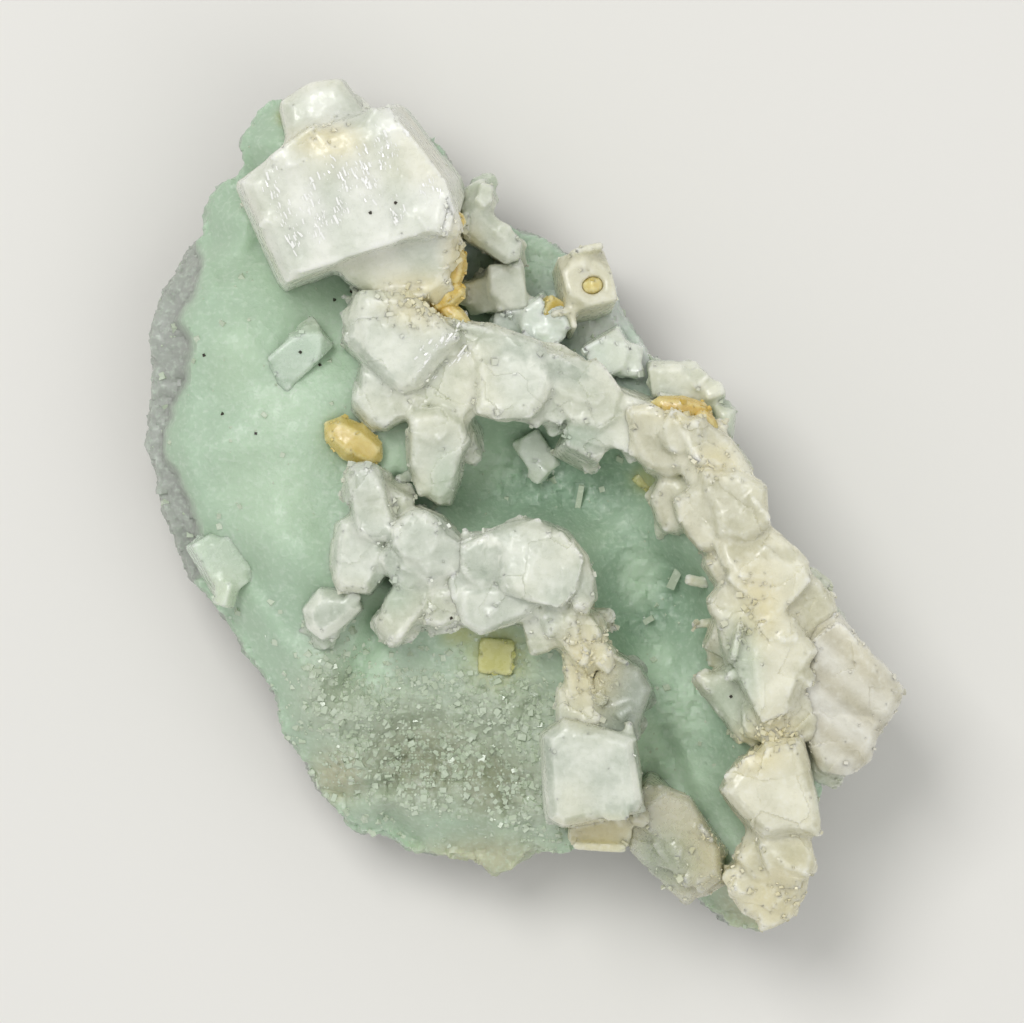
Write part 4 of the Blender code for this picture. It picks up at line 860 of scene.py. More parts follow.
@dataclass(frozen=True)
class PrehniteFinish:
    """Massive prehnite grown as a rounded crust.

    Waxy to glassy skin over a cloudy, slightly translucent body, so edges glow and shadows stay pale.
    The zones' colours have the names of the zones.
    """

    name: str = "prehnite_waxy_crust"
    mint: str = "#AAC2A8"
    mint_light: str = "#B1C7AD"
    basin: str = "#94AF96"
    recess: str = "#AAB7AC"
    rim: str = "#A6AAA1"
    druse: str = "#B9C4AC"
    olive: str = "#989E83"
    cream: str = "#B9BB9C"
    # Painted light, a pale green that lifts the shaded hollows
    shade: str = "#C2D8BE"
    pale: str = "#B7CDB1"
    # Snowy mottles, partly painted light in the shaded recess
    snow: str = "#E3E8E0"
    # Honey tint, and a painted glint on the knob
    glow: str = "#BCC38E"
    speck: str = "#CFDCCB"
    ior: float = 1.63
    roughness: float = 0.5
    scatter_mm: float = 1.2
    cloud_mm: float = 5.0
    mottle_mm: float = 0.9
    grain_mm: float = 0.35
    bump_mm: float = 0.12

    def material(self) -> Material:
        """Builds the material.

        Returns:
            A material that reads the zone masks stored on the crust.
        """
        material = new_material(self.name)
        add = partial(add_node, material.node_tree)
        coords = {"Vector": add("ShaderNodeTexCoord", {}, {}).outputs["Object"]}
        cloud, mottle, grain = (
            add("ShaderNodeTexNoise", {"Scale": per_mm(size), "Detail": detail}, coords).outputs["Fac"]
            for size, detail in ((self.cloud_mm, 3.0), (self.mottle_mm, 4.0), (self.grain_mm, 3.0))
        )
        mints = {"data_type": "RGBA", 6: to_linear(self.mint), 7: to_linear(self.mint_light)}
        color = add("ShaderNodeMix", mints, {0: cloud}).outputs[2]
        wander = add("ShaderNodeMath", {"operation": "MULTIPLY_ADD", 1: 0.5, 2: -0.25}, {0: mottle})
        layers = []
        for zone in Zone:
            mask = add("ShaderNodeAttribute", {"attribute_name": zone.value}, {}).outputs["Fac"]
            share = wander.outputs[0]
            for operation in ("ADD", "MULTIPLY"):
                clamped = {"operation": operation, "use_clamp": True}
                share = add("ShaderNodeMath", clamped, {0: mask, 1: share}).outputs[0]
            root = add("ShaderNodeMath", {"operation": "POWER", 1: 0.5}, {0: share})
            layers.append((root, getattr(self, zone.value)))
        ends = {"From Min": 0.5, "From Max": 0.75, "To Max": 0.5}
        speck = add("ShaderNodeMapRange", ends, {"Value": grain})
        for share, tone in layers + [(speck, self.speck)]:
            over = {"data_type": "RGBA", 7: to_linear(tone)}
            color = add("ShaderNodeMix", over, {0: share.outputs[0], 6: color}).outputs[2]
        least, most = self.roughness - 0.12, self.roughness + 0.15
        ends = {"From Min": 0.35, "From Max": 0.65, "To Min": least, "To Max": most}
        gloss = add("ShaderNodeMapRange", ends, {"Value": mottle})
        bump = add("ShaderNodeBump", {"Strength": 0.5, "Distance": self.bump_mm * MM}, {"Height": grain})
        settings = {
            "IOR": self.ior, "Subsurface Weight": 0.45, "Subsurface Radius": (0.8, 1.0, 0.8),
            "Subsurface Scale": self.scatter_mm * MM,
        }
        links = {"Base Color": color, "Roughness": gloss.outputs[0], "Normal": bump.outputs[0]}
        set_shader(material, settings, links)
        return material


@dataclass(frozen=True)
class CrystalFinish:
    """Cloudy apophyllite or calcite with etched faces.

    The milk is fine cracks and inclusions: it scatters light through the block, and the etched skin
    keeps the gloss soft.
    """

    name: str
    milk: str = "#E9EBDE"
    cloud: str = "#AFB8A6"
    # Lighter colour of the edge mask: partly chipped rims, partly painted highlight on the edges, and
    # painted light in the gaps; also the stripes' and flecks' colour
    edge: str = "#F3F3EB"
    stain: str = "#DDD5AE"
    foot: str = "#B4C4AF"
    clear: float = 0.0
    roughness: float = 0.34
    scatter_mm: float = 1.0
    band_mm: float = 0.0
    band_turn: float = 0.0
    cloud_mm: float = 2.4
    grain_mm: float = 0.45
    bump_mm: float = 0.04
    ior: float = 1.54

    def grains(self) -> "CrystalFinish":
        """The same mineral as tiny crystals, too small for light to spread in them."""
        return replace(self, name=self.name + "_grains", scatter_mm=0.0, clear=0.0)

    def material(self) -> Material:
        """Builds the material.

        Returns:
            A material that reads the tone, stain, foot and edge masks stored on a crystal group.
        """
        material = new_material(self.name)
        add = partial(add_node, material.node_tree)
        coords = {"Vector": add("ShaderNodeTexCoord", {}, {}).outputs["Object"]}
        cloud, grain = (
            add("ShaderNodeTexNoise", {"Scale": per_mm(size), "Detail": detail}, coords).outputs["Fac"]
            for size, detail in ((self.cloud_mm, 2.0), (self.grain_mm, 3.0))
        )
        cloud = add("ShaderNodeMapRange", {"From Min": 0.35, "From Max": 0.65}, {"Value": cloud}).outputs[0]
        tone = add("ShaderNodeAttribute", {"attribute_name": "tone"}, {}).outputs["Fac"]
        spread = add("ShaderNodeMix", {"data_type": "FLOAT", 0: 0.6}, {2: cloud, 3: tone})
        milks = {"data_type": "RGBA", 6: to_linear(self.cloud), 7: to_linear(self.milk)}
        color = add("ShaderNodeMix", milks, {0: spread.outputs[0]}).outputs[2]
        layers = []
        if self.band_mm:
            turn = {"vector_type": "TEXTURE", "Rotation": (0.0, 0.0, math.radians(self.band_turn))}
            turned = add("ShaderNodeMapping", turn, coords).outputs[0]
            waves = {
                "bands_direction": "Y", "Scale": per_mm(self.band_mm) / WAVES_PER_SCALE, "Distortion": 2.5,
                "Detail": 2.0, "Detail Scale": 1.5,
            }
            bands = add("ShaderNodeTexWave", waves, {"Vector": turned})
            layers.append((bands.outputs["Fac"], self.edge, 0.5))
        # The edge layer is a lighter colour: partly chipped rims, partly painted highlight on the edges, and
        # painted light in the shaded gaps
        for name, most in (("stain", 1.0), ("foot", 0.65), ("edge", 0.6)):
            mask = add("ShaderNodeAttribute", {"attribute_name": name}, {})
            layers.append((mask.outputs["Fac"], getattr(self, name), most))
        ends = {"From Min": 0.55, "From Max": 0.75, "To Max": 0.3}
        fleck = add("ShaderNodeMapRange", ends, {"Value": grain})
        layers.append((fleck.outputs[0], self.edge, 1.0))
        for mask, paint, most in layers:
            share = add("ShaderNodeMath", {"operation": "MULTIPLY", 1: most}, {0: mask}).outputs[0]
            over = {"data_type": "RGBA", 7: to_linear(paint)}
            color = add("ShaderNodeMix", over, {0: share, 6: color}).outputs[2]
        least, most = self.roughness - 0.12, self.roughness + 0.12
        ends = {"From Min": 0.4, "From Max": 0.6, "To Min": least, "To Max": most}
        gloss = add("ShaderNodeMapRange", ends, {"Value": grain})
        bump = add("ShaderNodeBump", {"Strength": 0.2, "Distance": self.bump_mm * MM}, {"Height": grain})
        settings = {
            "IOR": self.ior, "Transmission Weight": self.clear,
            "Subsurface Weight": 0.75 if self.scatter_mm else 0.0,
            "Subsurface Radius": (1.0, 1.0, 0.95), "Subsurface Scale": self.scatter_mm * MM,
        }
        links = {"Base Color": color, "Roughness": gloss.outputs[0], "Normal": bump.outputs[0]}
        set_shader(material, settings, links)
        return material


@dataclass
class PrehniteCrust:
    """The grown crust: its relief, its broken rim, sides and back. Sizes in millimetres."""

    voxel: float = 0.22
    keep: float = 0.7
    slab: float = 10.0
    spot_reach: float = 2.1
    terrace_drop: float = 3.8
    terrace_step: float = 0.8
    edge_fall: float = 2.6
    edge_width: float = 3.2
    sheer_keep: float = 0.25
    back_rise: float = 4.6
    back_width: float = 10.5
    back_sunk: float = 1.0
    back_rough: float = 1.3
    skin_cell: float = 3.6
    skin_rough: float = 0.35
    hackle: float = 0.3
    finish: PrehniteFinish = PrehniteFinish()

    def terrace(self, x: Array, y: Array) -> Array:
        """How far places are on the broken terrace at the left edge, from 0 to 1."""
        inner_edge = np.interp(y, TERRACE_Y, TERRACE_X, left=-99.0, right=-99.0)
        inner_edge = inner_edge + 0.4 * lattice_noise(x, y, np.zeros_like(x), 1.7, 2)
        return smooth_step((inner_edge - x) / self.terrace_step + 0.5)

    def top(self, x: Array, y: Array) -> Array:
        """Height of the grown surface over places, without its fine grain."""
        weight_sum = 1e-9
        height = 0.0
        for spot_x, spot_y, spot_z in SPOTS:
            square = (x - spot_x) ** 2 + (y - spot_y) ** 2
            weight = np.exp(-square / (2.0 * self.spot_reach**2)) + 1e-7 / (1.0 + square)
            weight_sum = weight_sum + weight
            height = height + weight * spot_z
        height = height / weight_sum
        for lump_x, lump_y, radius, rise in LUMPS:
            height = height + rise * np.exp(-((x - lump_x) ** 2 + (y - lump_y) ** 2) / radius**2)
        for start_x, start_y, end_x, end_y, half_width, depth in GROOVES:
            away = segment_distance(x, y, (start_x, start_y), (end_x, end_y))
            height = height - depth * np.exp(-((away / half_width) ** 2))
        height = height + self.skin_rough * lattice_noise(x, y, np.zeros_like(x), self.skin_cell, 1)
        on_terrace = self.terrace(x, y)
        height = height - self.terrace_drop * on_terrace
        rounding = 1.0 - smooth_step(edge_distance(x, y) / self.edge_width)
        sheer = smooth_step((x + 0.6 * y - 1.0) / 6.0)
        fall = self.edge_fall * rounding * (1.0 - 0.7 * on_terrace)
        return height - fall * (1.0 - (1.0 - self.sheer_keep) * sheer)

    def back(self, x: Array, y: Array) -> Array:
        """Height of the broken back over places, below 0 where it lies flat."""
        rise = self.back_rise * (1.0 - smooth_step(edge_distance(x, y) / self.back_width))
        flat = np.zeros_like(x)
        rough = lattice_noise(x, y, flat, 7.0, 3) + 0.5 * lattice_noise(x, y, flat, 3.0, 4)
        return rise - self.back_sunk + self.back_rough * rough

    def zones(self, x: Array, y: Array) -> dict[Zone, Array]:
        """How far places are in each zone, from 0 to 1."""
        masks = {zone: soft_spots(x, y, spots) for zone, spots in ZONE_SPOTS.items()}
        masks[Zone.RIM] = self.terrace(x, y)
        return masks

    def grain(self, x: Array, y: Array, masks: dict[Zone, Array]) -> Array:
        """Fine relief of the grown surface in millimetres: small facets where it is crystallised."""
        flat = np.zeros_like(x)
        facets = 0.8 * facet_noise(x, y, 1.5, 11) + 0.45 * facet_noise(x, y, 0.75, 12) - 0.6
        lumps = 0.6 * lump_noise(x, y, 1.3, 14) + 0.5 * lump_noise(x, y, 0.7, 15) - 0.6
        hackly = 0.06 + 0.22 * masks[Zone.RIM] + 0.25 * masks[Zone.RECESS] + 0.12 * masks[Zone.CREAM]
        lumpy = 0.10 + 0.75 * masks[Zone.DRUSE] + 0.42 * masks[Zone.BASIN] + 0.5 * masks[Zone.CREAM]
        swell = 0.12 * lattice_noise(x, y, flat, 2.0, 13) + 0.03 * lattice_noise(x, y, flat, 0.6, 16)
        return swell + hackly * facets + lumpy * lumps

    def outline_mesh(self) -> Mesh:
        """The closed slab of the outline that the crust is shaped from."""
        curve = bpy.data.curves.new("crust_outline", "CURVE")
        curve.dimensions = "2D"
        curve.fill_mode = "BOTH"
        curve.extrude = self.slab * MM / 2
        spline = curve.splines.new("POLY")
        spline.points.add(len(OUTLINE) - 1)
        for point, (x, y) in zip(spline.points, OUTLINE):
            point.co = (x * MM, y * MM, 0.0, 1.0)
        spline.use_cyclic_u = True
        holder = add_object("crust_outline", curve)
        mesh = evaluated_mesh(holder)
        bpy.data.objects.remove(holder)
        with edited(mesh) as work:
            bmesh.ops.remove_doubles(work, verts=work.verts, dist=0.01 * MM)
            bmesh.ops.recalc_face_normals(work, faces=work.faces)
        return mesh

    def build(self) -> Object:
        """Makes the crust.

        Returns:
            The crust, with its zone masks stored.
        """
        item = add_object("prehnite_crust_skin", self.outline_mesh())
        remeshed(item, self.voxel, 0)
        points = read_points(item.data)
        x, y, level = points.T
        up = np.clip(level / self.slab + 0.5, 0.0, 1.0)
        masks = self.zones(x, y)
        near_edge = 1.0 - smooth_step(edge_distance(x, y) / 0.9)
        top = self.top(x, y) + self.grain(x, y, masks) * (1.0 - 0.5 * near_edge)
        back = self.back(x, y)
        points[:, 2] = back + (top - back) * up
        write_points(item.data, points)
        self.roughen(item.data, near_edge, masks)
        masks[Zone.RIM] = np.maximum(masks[Zone.RIM], 1.0 - smooth_step((up - 0.4) / 0.5))
        for zone, values in masks.items():
            set_mask(item.data, zone.value, values)
        thinned(item, self.keep)
        return item

    def roughen(self, mesh: Mesh, near_edge: Array, masks: dict[Zone, Array]) -> None:
        """Breaks up the sides and the back, facets the top, and keeps the flat that it rests on."""
        points = read_points(mesh)
        normals = read_normals(mesh)
        x, y, z = points.T
        rough = lattice_noise(x, y, z, 2.6, 5) + 0.6 * lattice_noise(x, y, z, 1.1, 6)
        rough = rough + 0.35 * lattice_noise(x, y, z, 0.6, 7)
        broken = np.maximum(near_edge, smooth_step(-normals[:, 2] * 2.0 + 0.6))
        sharp = 0.03 + 0.10 * masks[Zone.RIM] + 0.14 * masks[Zone.RECESS] + 0.12 * masks[Zone.DRUSE]
        sharp = np.maximum(sharp + 0.07 * masks[Zone.BASIN], 0.2 * broken)
        shards = shard_noise(points, 1.1, 8) + 0.6 * shard_noise(points, 0.6, 9)
        points = points + normals * (self.hackle * rough * broken + sharp * shards)[:, None]
        points[:, 2] = np.maximum(points[:, 2], 0.0)
        write_points(mesh, points)

    def dress(self, item: Object) -> None:
        """Gives the crust its material and its place."""
        place(item, [self.finish.material()], "prehnite", ["prehnite_crust"])


@dataclass
class CrystalGroup:
    """One group of crystals: etched faces, low growth steps and a sugar of tiny crystals.

    Sizes in millimetres.
    """

    node: str
    finish: CrystalFinish
    slot: str = "apophyllite"
    voxel: float = 0.115
    keep: float = 0.28
    swell: float = 0.13
    crack: float = 0.22
    fill_rounds: int = 12
    etch: float = 0.014
    chip: float = 0.11
    facet: float = 0.0
    facet_cell: float = 2.4
    edge_gain: float = 11.0
    edge_start: float = 0.12
    edge_rounds: int = 5
    gap_depth: float = 0.3
    ridge: float = 0.0
    smallest_stepped: float = 1.5
    plates: float = 0.10
    plate_rise: float = 0.10
    narrowest_plated: float = 1.2
    chunks: float = 0.12
    widest_chunked: float = 16.0
    chunk_size: float = 1.3
    chunk_sunk: float = 0.35
    sugar: float = 0.25
    most_over: float = 0.5
    stain: float = 0.25
    stain_cell: float = 3.5
    foot_height: float = 3.6
    seed: int = 1

    def growth_steps(self) -> Mesh:
        """Low plates on the crystals' faces, and small crystals at odd angles on the smaller ones.

        Returns:
            A mesh of closed blocks.
        """
        draw = np.random.default_rng(self.seed)
        work = bmesh.new()
        work.from_mesh(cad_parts[self.node].data)
        bmesh.ops.remove_doubles(work, verts=work.verts, dist=0.001 * MM)
        bmesh.ops.dissolve_limit(work, angle_limit=math.radians(1.0), verts=work.verts, edges=work.edges)
        blocks = []
        for face in work.faces:
            area = face.calc_area() / MM**2
            if area < self.smallest_stepped or face.normal.z < -0.2:
                continue
            longest = max(face.edges, key=lambda edge: edge.calc_length())
            along = (longest.verts[1].co - longest.verts[0].co).normalized()
            across = face.normal.cross(along)
            middle = face.calc_center_median()
            reach = [vert.co - middle for vert in face.verts]
            span = np.array([max(abs(part.dot(axis)) for part in reach) / MM for axis in (along, across)])
            axes = np.array([along, across, face.normal]).T
            middle = np.array(middle) / MM
            count = draw.poisson(area * self.plates) if min(span) > self.narrowest_plated else 0
            for _ in range(count):
                size = span * draw.uniform(0.3, 0.75, 2)
                shift = (span * 0.85 - size) * draw.choice([-1.0, 1.0, 0.4], 2)
                place_on = middle + axes[:, 0] * shift[0] + axes[:, 1] * shift[1]
                blocks.append((place_on, [*size, self.plate_rise * draw.uniform(0.5, 1.5)], axes))
            count = draw.poisson(area * self.chunks) if area < self.widest_chunked else 0
            for _ in range(count):
                shift = span * draw.uniform(-0.9, 0.9, 2)
                size = self.chunk_size * draw.uniform(0.25, 0.6) * draw.uniform(0.6, 1.2, 3)
                base = middle - self.chunk_sunk * size.max() * axes[:, 2]
                place_on = base + axes[:, 0] * shift[0] + axes[:, 1] * shift[1]
                blocks.append((place_on, size, random_turns(draw, 1)[0]))
        work.free()
        places, sizes, turns = zip(*blocks) if blocks else ((), (), ())
        shapes = ((places, (-1, 3)), (sizes, (-1, 3)), (turns, (-1, 3, 3)))
        return box_cloud(self.node + "_steps", *(np.reshape(rows, shape) for rows, shape in shapes))

    def build(self) -> Object:
        """Makes the group.

        Returns:
            One closed skin over the crystals and their steps, with its sugar of tiny crystals.
        """
        item = add_object(self.node + "_skin", solid_copy(self.node))
        join_meshes(item.data, self.growth_steps())
        if self.node in SLABS:
            join_meshes(item.data, slab_mesh(self.node, SLABS[self.node]))
        if self.node in SPLINTERS:
            join_meshes(item.data, splinter_mesh(SPLINTERS[self.node]))
        remeshed(item, self.voxel, 1)
        if self.crack:
            close_cracks(item, self.voxel, self.crack)
        self.trim(item.data)
        filled = fill_crevices(item.data, self.fill_rounds)
        set_mask(item.data, "gap", smooth_step(filled / self.gap_depth))
        self.etch_skin(item.data)
        thinned(item, self.keep)
        drop_loose(item.data)
        self.add_sugar(item)
        self.mark(item.data)
        return item

    def trim(self, mesh: Mesh) -> None:
        """Draws in what stands out past the group's trimming planes or over its highest crystal."""
        points = read_points(mesh)
        for spot, direction in TRIMS.get(self.node, []):
            outward = np.array(direction) / np.linalg.norm(direction)
            past = np.maximum((points - spot) @ outward, 0.0)
            points = points - past[:, None] * outward
        highest = read_points(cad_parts[self.node].data)[:, 2].max() + self.most_over
        points[:, 2] = np.minimum(points[:, 2], highest)
        write_points(mesh, points)

    def etch_skin(self, mesh: Mesh) -> None:
        """Etches the faces, chips the edges and stores which points are at an edge or in a filled gap, for a
        lighter colour: partly chipped rims, partly painted highlight on the edges, and painted light in the
        shaded gaps.
        """
        points = read_points(mesh)
        normals = read_normals(mesh)
        ends = edge_ends(mesh)
        x, y, z = points.T
        sharp = np.sum((points - neighbour_mean(ends, points)) * normals, axis=1) / self.voxel
        for _ in range(self.edge_rounds):
            sharp = 0.5 * (sharp + neighbour_mean(ends, sharp))
        convex = np.clip(sharp * self.edge_gain - self.edge_start, 0.0, 1.0)
        etching = 0.6 * lattice_noise(x, y, z, 1.3, self.seed) + shard_noise(points, 0.8, self.seed + 1)
        etching = etching * (1.0 + 3.0 * get_mask(mesh, "gap") + 9.0 * soft_spots(x, y, ROUGH_SPOTS))
        chips = shard_noise(points, 0.7, self.seed + 2) + shard_noise(points, 0.33, self.seed + 4)
        move = self.swell + self.facet * shard_noise(points, self.facet_cell, self.seed + 6)
        move = move + self.etch * etching - self.chip * np.clip(chips + 0.3, 0.0, 1.6) * convex
        if self.ridge:
            turn = math.radians(self.finish.band_turn)
            along = x * math.cos(turn) + y * math.sin(turn)
            across = y * math.cos(turn) - x * math.sin(turn)
            stripes = lattice_noise(along / 9.0, across, z / 9.0, self.finish.band_mm * 0.4, self.seed + 5)
            move = move + self.ridge * stripes
        write_points(mesh, points + normals * move[:, None])
        rim = convex
        for _ in range(self.edge_rounds):
            rim = 0.5 * (rim + neighbour_mean(ends, rim))
        # Edge mask: convex edges, partly chipped and partly painted highlight, and the filled gaps, where
        # the lighter colour is painted light against their shade
        set_mask(mesh, "edge", 0.9 * convex + 0.6 * rim + 0.4 * get_mask(mesh, "gap"))

    def add_sugar(self, item: Object) -> None:
        """Strews tiny crystals along the outer edges and in the gaps, as part of the group."""
        draw = np.random.default_rng(self.seed + 7)
        mesh = item.data
        points = read_points(mesh)
        normals = read_normals(mesh)
        x, y, _ = points.T
        weight = 0.02 + 0.6 * get_mask(mesh, "edge") + get_mask(mesh, "gap")
        weight = weight + 2.0 * soft_spots(x, y, STAIN_SPOTS)
        weight = weight * np.clip(normals[:, 2] + 0.8, 0.05, 1.0)
        area = sum(polygon.area for polygon in mesh.polygons) / MM**2
        count = int(area * self.sugar)
        picks = draw.choice(len(points), count, p=weight / weight.sum())
        sizes = (0.04 + 0.1 * draw.random(count) ** 3)[:, None] * draw.uniform(0.4, 2.0, (count, 3))
        places = points[picks] - 0.3 * sizes.mean() * normals[picks]
        sugar = box_cloud(item.name, places, sizes, random_turns(draw, count))
        sugar.polygons.foreach_set("material_index", [1] * len(sugar.polygons))
        join_meshes(mesh, sugar)

    def face_tones(self, points: Array) -> Array:
        """A tone from 0 to 1 for each point, the same all over one crystal face."""
        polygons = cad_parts[self.node].data.polygons
        planes = [[*polygon.normal, polygon.center.dot(polygon.normal) / MM] for polygon in polygons]
        keys = np.round(np.array(planes) * [9.0, 9.0, 9.0, 3.0]).astype(np.int64)
        tones = 0.5 + 0.5 * cell_value(keys[:, 0] * 31 + keys[:, 3], keys[:, 1], keys[:, 2], self.seed)
        tree = solid_tree(self.node)
        return tones[[tree.find_nearest(point)[2] for point in (points * MM).tolist()]]

    def mark(self, mesh: Mesh) -> None:
        """Stores each face's tone, where stains are and how near the crust each point is."""
        points = read_points(mesh)
        set_mask(mesh, "tone", self.face_tones(points))
        x, y, z = points.T
        stains = 0.5 + 0.5 * lattice_noise(x, y, z, self.stain_cell, self.seed + 3)
        stains = self.stain * smooth_step(stains * 1.6 - 0.4)
        set_mask(mesh, "stain", stains + 0.8 * soft_spots(x, y, STAIN_SPOTS))
        low = 1.0 - smooth_step((z - PrehniteCrust().top(x, y)) / self.foot_height)
        set_mask(mesh, "foot", np.maximum(0.7 * low, soft_spots(x, y, VEIL_SPOTS)))

    def dress(self, item: Object) -> None:
        """Gives the group its material and its place."""
        place(item, [self.finish.material(), self.finish.grains().material()], self.slot, [self.node])


@dataclass
class Druse:
    """Tiny crystals strewn over a grown surface. Sizes in millimetres."""

    name: str
    slot: str
    finish: CrystalFinish
    count: int
    seed: int
    smallest: float = 0.12
    largest: float = 0.5
    stretch: tuple[float, float, float] = (1.0, 1.0, 1.0)
    turn: float | None = None

    def build(self, host: Object, weight: Array) -> Object:
        """Strews the crystals.

        Args:
            host: The piece that they grow on.
            weight: How likely each of its points is to carry one.

        Returns:
            One mesh of small blocks, each part sunk in its host.
        """
        draw = np.random.default_rng(self.seed)
        points = read_points(host.data)
        picks = draw.choice(len(points), self.count, p=weight / weight.sum())
        size = self.smallest + (self.largest - self.smallest) * draw.random(self.count) ** 3
        sizes = size[:, None] * draw.uniform(0.35, 0.65, (self.count, 3)) * self.stretch
        places = points[picks] - read_normals(host.data)[picks] * sizes.min(axis=1)[:, None] * 0.6
        turns = random_turns(draw, self.count)
        if self.turn is not None:
            angles = np.radians(draw.normal([0.0, 0.0, self.turn], [3.0, 3.0, 9.0], (self.count, 3)))
            turns = np.array([Euler(angle).to_matrix() for angle in angles])
        mesh = box_cloud(self.name, places, sizes, turns)
        return add_object(self.name, mesh)

    def dress(self, item: Object) -> None:
        """Gives the crystals their material and their place."""
        place(item, [self.finish.material()], self.slot, [])


@dataclass
class Studio:
    """Pale floor, soft lights and the camera straight above. Sizes in metres."""

    floor_half: float = 0.6
    floor_gap: float = 0.00005
    floor: str = "#E6E4DE"
    air: str = "#F4F5F7"
    camera_at: tuple[float, float, float] = (-0.00086, -0.00039, 0.9)
    lens_mm: float = 434.0
    sensor_mm: float = 36.0
    view_end: float = 5.0
    sky: float = 0.6
    key_watts: float = 1.8

    def build(self) -> None:
        """Makes the floor, the lights and the camera."""
        mesh = bpy.data.meshes.new("floor")
        reach = self.floor_half
        corners = [(-reach, -reach), (reach, -reach), (reach, reach), (-reach, reach)]
        mesh.from_pydata([(x, y, -self.floor_gap) for x, y in corners], [], [(0, 1, 2, 3)])
        floor = add_object("floor", mesh)
        paper = new_material("pale_paper")
        set_shader(paper, {"Base Color": to_linear(self.floor), "Roughness": 0.9}, {})
        mesh.materials.append(paper)

        world = bpy.data.worlds.new("soft_room")
        world.use_nodes = True
        backdrop = world.node_tree.nodes["Background"]
        backdrop.inputs["Color"].default_value = to_linear(self.air)
        backdrop.inputs["Strength"].default_value = self.sky
        bpy.context.scene.world = world

        self.add_softbox("key_softbox", (-0.16, 0.20, 0.60), 0.26, self.key_watts)
        self.add_softbox("fill_softbox", (0.22, -0.18, 0.55), 0.40, self.key_watts * 0.3)

        camera = bpy.data.cameras.new("camera")
        camera.lens = self.lens_mm
        camera.sensor_width = self.sensor_mm
        camera.clip_end = self.view_end
        item = add_object("camera", camera)
        item.location = self.camera_at
        bpy.context.scene.camera = item
        bpy.context.scene.view_settings.view_transform = "Standard"

    def add_softbox(self, name: str, spot: tuple, size: float, watts: float) -> None:
        """Adds a square soft light that points at the specimen."""
        light = bpy.data.lights.new(name, "AREA")
        light.size = size
        light.energy = watts
        item = add_object(name, light)
        item.location = spot
        item.rotation_euler = (-Vector(spot)).to_track_quat("-Z", "Y").to_euler()


def crystal_groups() -> list[CrystalGroup]:
    """Every apophyllite group with its finish."""
    banded = CrystalFinish(
        "apophyllite_banded_milky", milk="#EEEFE4", cloud="#C2C8B7", band_mm=2.2, band_turn=BAND_TURN
    )
    snowy = CrystalFinish("apophyllite_snowy_etched")
    warm = CrystalFinish("apophyllite_cream_etched", milk="#EAE8D4", cloud="#BFBDA2")
    wedge = CrystalFinish(
        "apophyllite_pearly_layered", milk="#DBD7C4", cloud="#B0AC98", band_mm=1.3, band_turn=-42.0
    )
    misty = CrystalFinish(
        "apophyllite_misty", milk="#E8EEE5", cloud="#D2DCCF", edge="#F4F6F1", roughness=0.25, scatter_mm=0.8
    )
    icy = replace(
        misty, name="apophyllite_icy", milk="#BCC6B8", cloud="#A0ACA0", edge="#E4E8DF", clear=0.2
    )
    green = replace(
        misty, name="apophyllite_green_veil", milk="#D6E4D3", cloud="#C5D8C3", edge="#E8F0E5", clear=0.08
    )
    beige = CrystalFinish(
        "apophyllite_beige_misty", milk="#E9E6D2", cloud="#D8D7BF", roughness=0.3, clear=0.3
    )
    layout = {
        "big_block": banded, "upper_ridge": snowy, "right_ridge": warm, "wedge_block": wedge,
        "foot_blocks": warm, "foot_cluster": beige, "centre_cluster": snowy, "round_block": snowy,
        "round_cluster": snowy, "clear_block": icy, "square_block": snowy, "shelf_block": warm,
        "top_prism": snowy, "edge_slab": snowy, "recess_pair": snowy, "recess_corner": misty,
        "recess_edge": warm, "recess_low": misty, "dome_tablet": green, "left_tablet": green,
        "basin_tablet": misty,
    }
    clusters = {
        "chunks": 0.05, "plates": 0.08, "facet": 0.10, "chip": 0.2, "crack": 0.12, "fill_rounds": 26,
        "sugar": 0.6, "swell": 0.15,
    }
    groups = []
    for index, (name, finish) in enumerate(layout.items()):
        node = f"apophyllite_{name}"
        ridge = 0.07 if finish.band_mm else 0.0
        sizes = clusters if node in SLABS else {}
        if name == "big_block":
            sizes = {"fill_rounds": 50, "plates": 0.03}
        groups.append(CrystalGroup(node, finish, ridge=ridge, seed=100 + 30 * index, **sizes))
    return groups


def calcite_groups() -> list[CrystalGroup]:
    """Every calcite group with its finish."""
    honey = CrystalFinish(
        "calcite_honey", milk="#DCCC80", cloud="#C8B055", edge="#EADFAE", stain="#D2B258", foot="#D3C078",
        roughness=0.3, scatter_mm=0.5, ior=1.6, cloud_mm=1.2,
    )
    green = replace(
        honey, name="calcite_green_honey", milk="#D3CF86", cloud="#BCB766", edge="#CFCF9C",
        stain="#BFB25E", foot="#BCC084",
    )
    sizes = {
        "voxel": 0.09, "crack": 0.0, "fill_rounds": 3, "chip": 0.07, "plates": 0.0, "chunks": 0.0,
        "sugar": 0.8,
    }
    nodes = sorted(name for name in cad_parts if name.startswith("calcite"))
    return [
        CrystalGroup(name, green if "green" in name else honey, "calcite", seed=800 + 30 * index, **sizes)
        for index, name in enumerate(nodes)
    ]


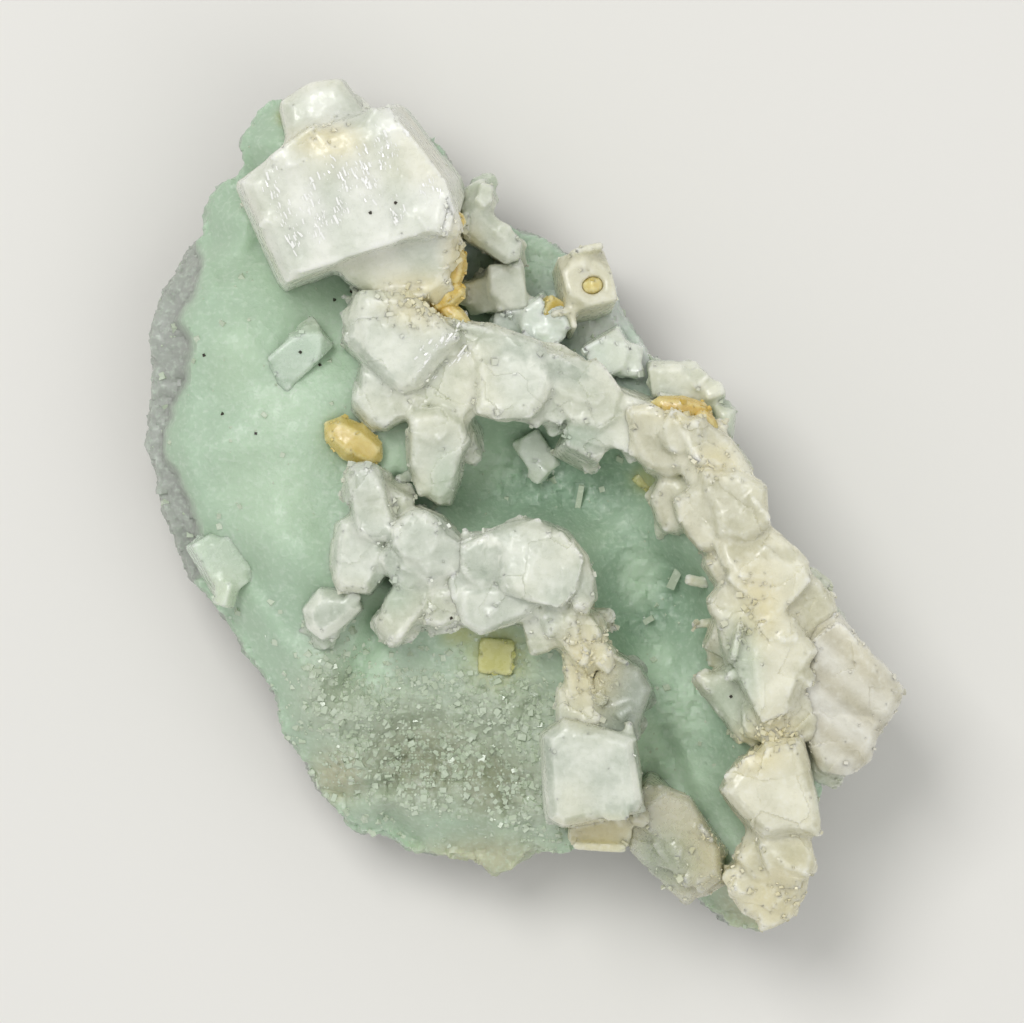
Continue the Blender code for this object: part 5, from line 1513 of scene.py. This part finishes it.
def add_grains(pieces: list[Object]) -> None:
    """Strews the druse, the basin's blades, the painted glint flecks and the dark specks over the pieces."""
    skin = pieces[0]
    clear = CrystalFinish(
        "prehnite_drusy_grains", milk="#D6DFCC", cloud="#B9C5AD", edge="#E6ECDF", roughness=0.16,
        scatter_mm=0.0,
    )
    x, y, _ = read_points(skin.data).T
    facing = np.clip(read_normals(skin.data)[:, 2], 0.0, 1.0)
    druse = Druse("prehnite_druse", "prehnite", clear, 2600, seed=7)
    druse.dress(druse.build(skin, facing * (0.02 + soft_spots(x, y, ZONE_SPOTS[Zone.DRUSE]))))
    blades = add_object("apophyllite_basin_blades", splinter_mesh(SPLINTERS["prehnite_crust"]))
    place(blades, [clear.material()], "apophyllite", [])

    # Bright white flakes on the big block's stripes and the upper ridge's cleavage: painted glints for the
    # pearly sheen
    painted_glints = CrystalFinish(
        "apophyllite_painted_glint_flecks", milk="#FAFAF6", cloud="#F2F2EC", roughness=0.18, scatter_mm=0.0
    )
    for host, spots, count, turn in (
        ("apophyllite_big_block_skin", FLECK_SPOTS, 460, BAND_TURN),
        ("apophyllite_upper_ridge_skin", SLIVER_SPOTS, 110, 49.0),
    ):
        item = bpy.data.objects[host]
        x, y, _ = read_points(item.data).T
        facing = (read_normals(item.data)[:, 2] > 0.8).astype(float)
        flecks = Druse(
            f"{host}_painted_glint_flecks", "apophyllite", painted_glints, count, seed=9, stretch=(1.1, 0.3, 0.12), turn=turn
        )
        flecks.dress(flecks.build(item, facing * soft_spots(x, y, spots)))

    rust = CrystalFinish(
        "iron_oxide_specks", milk="#3A2A1C", cloud="#2A241E", edge="#6A4424", scatter_mm=0.0
    )
    spots = np.array([top_point(pieces, x, y) for x, y in SPECK_SPOTS])
    turns = random_turns(np.random.default_rng(5), len(spots))
    specks = box_cloud("dark_specks", spots, np.full((len(spots), 3), SPECK_HALF), turns)
    place(add_object("dark_specks", specks), [rust.material()], "prehnite", [])


def main() -> None:
    """Builds the specimen and its studio."""
    logging.basicConfig(level=logging.INFO, format="%(message)s")
    Studio().build()
    pieces = []
    for part in [PrehniteCrust()] + crystal_groups() + calcite_groups():
        item = part.build()
        part.dress(item)
        pieces.append(item)
    add_grains(pieces)


if __name__ == "__main__":
    main()
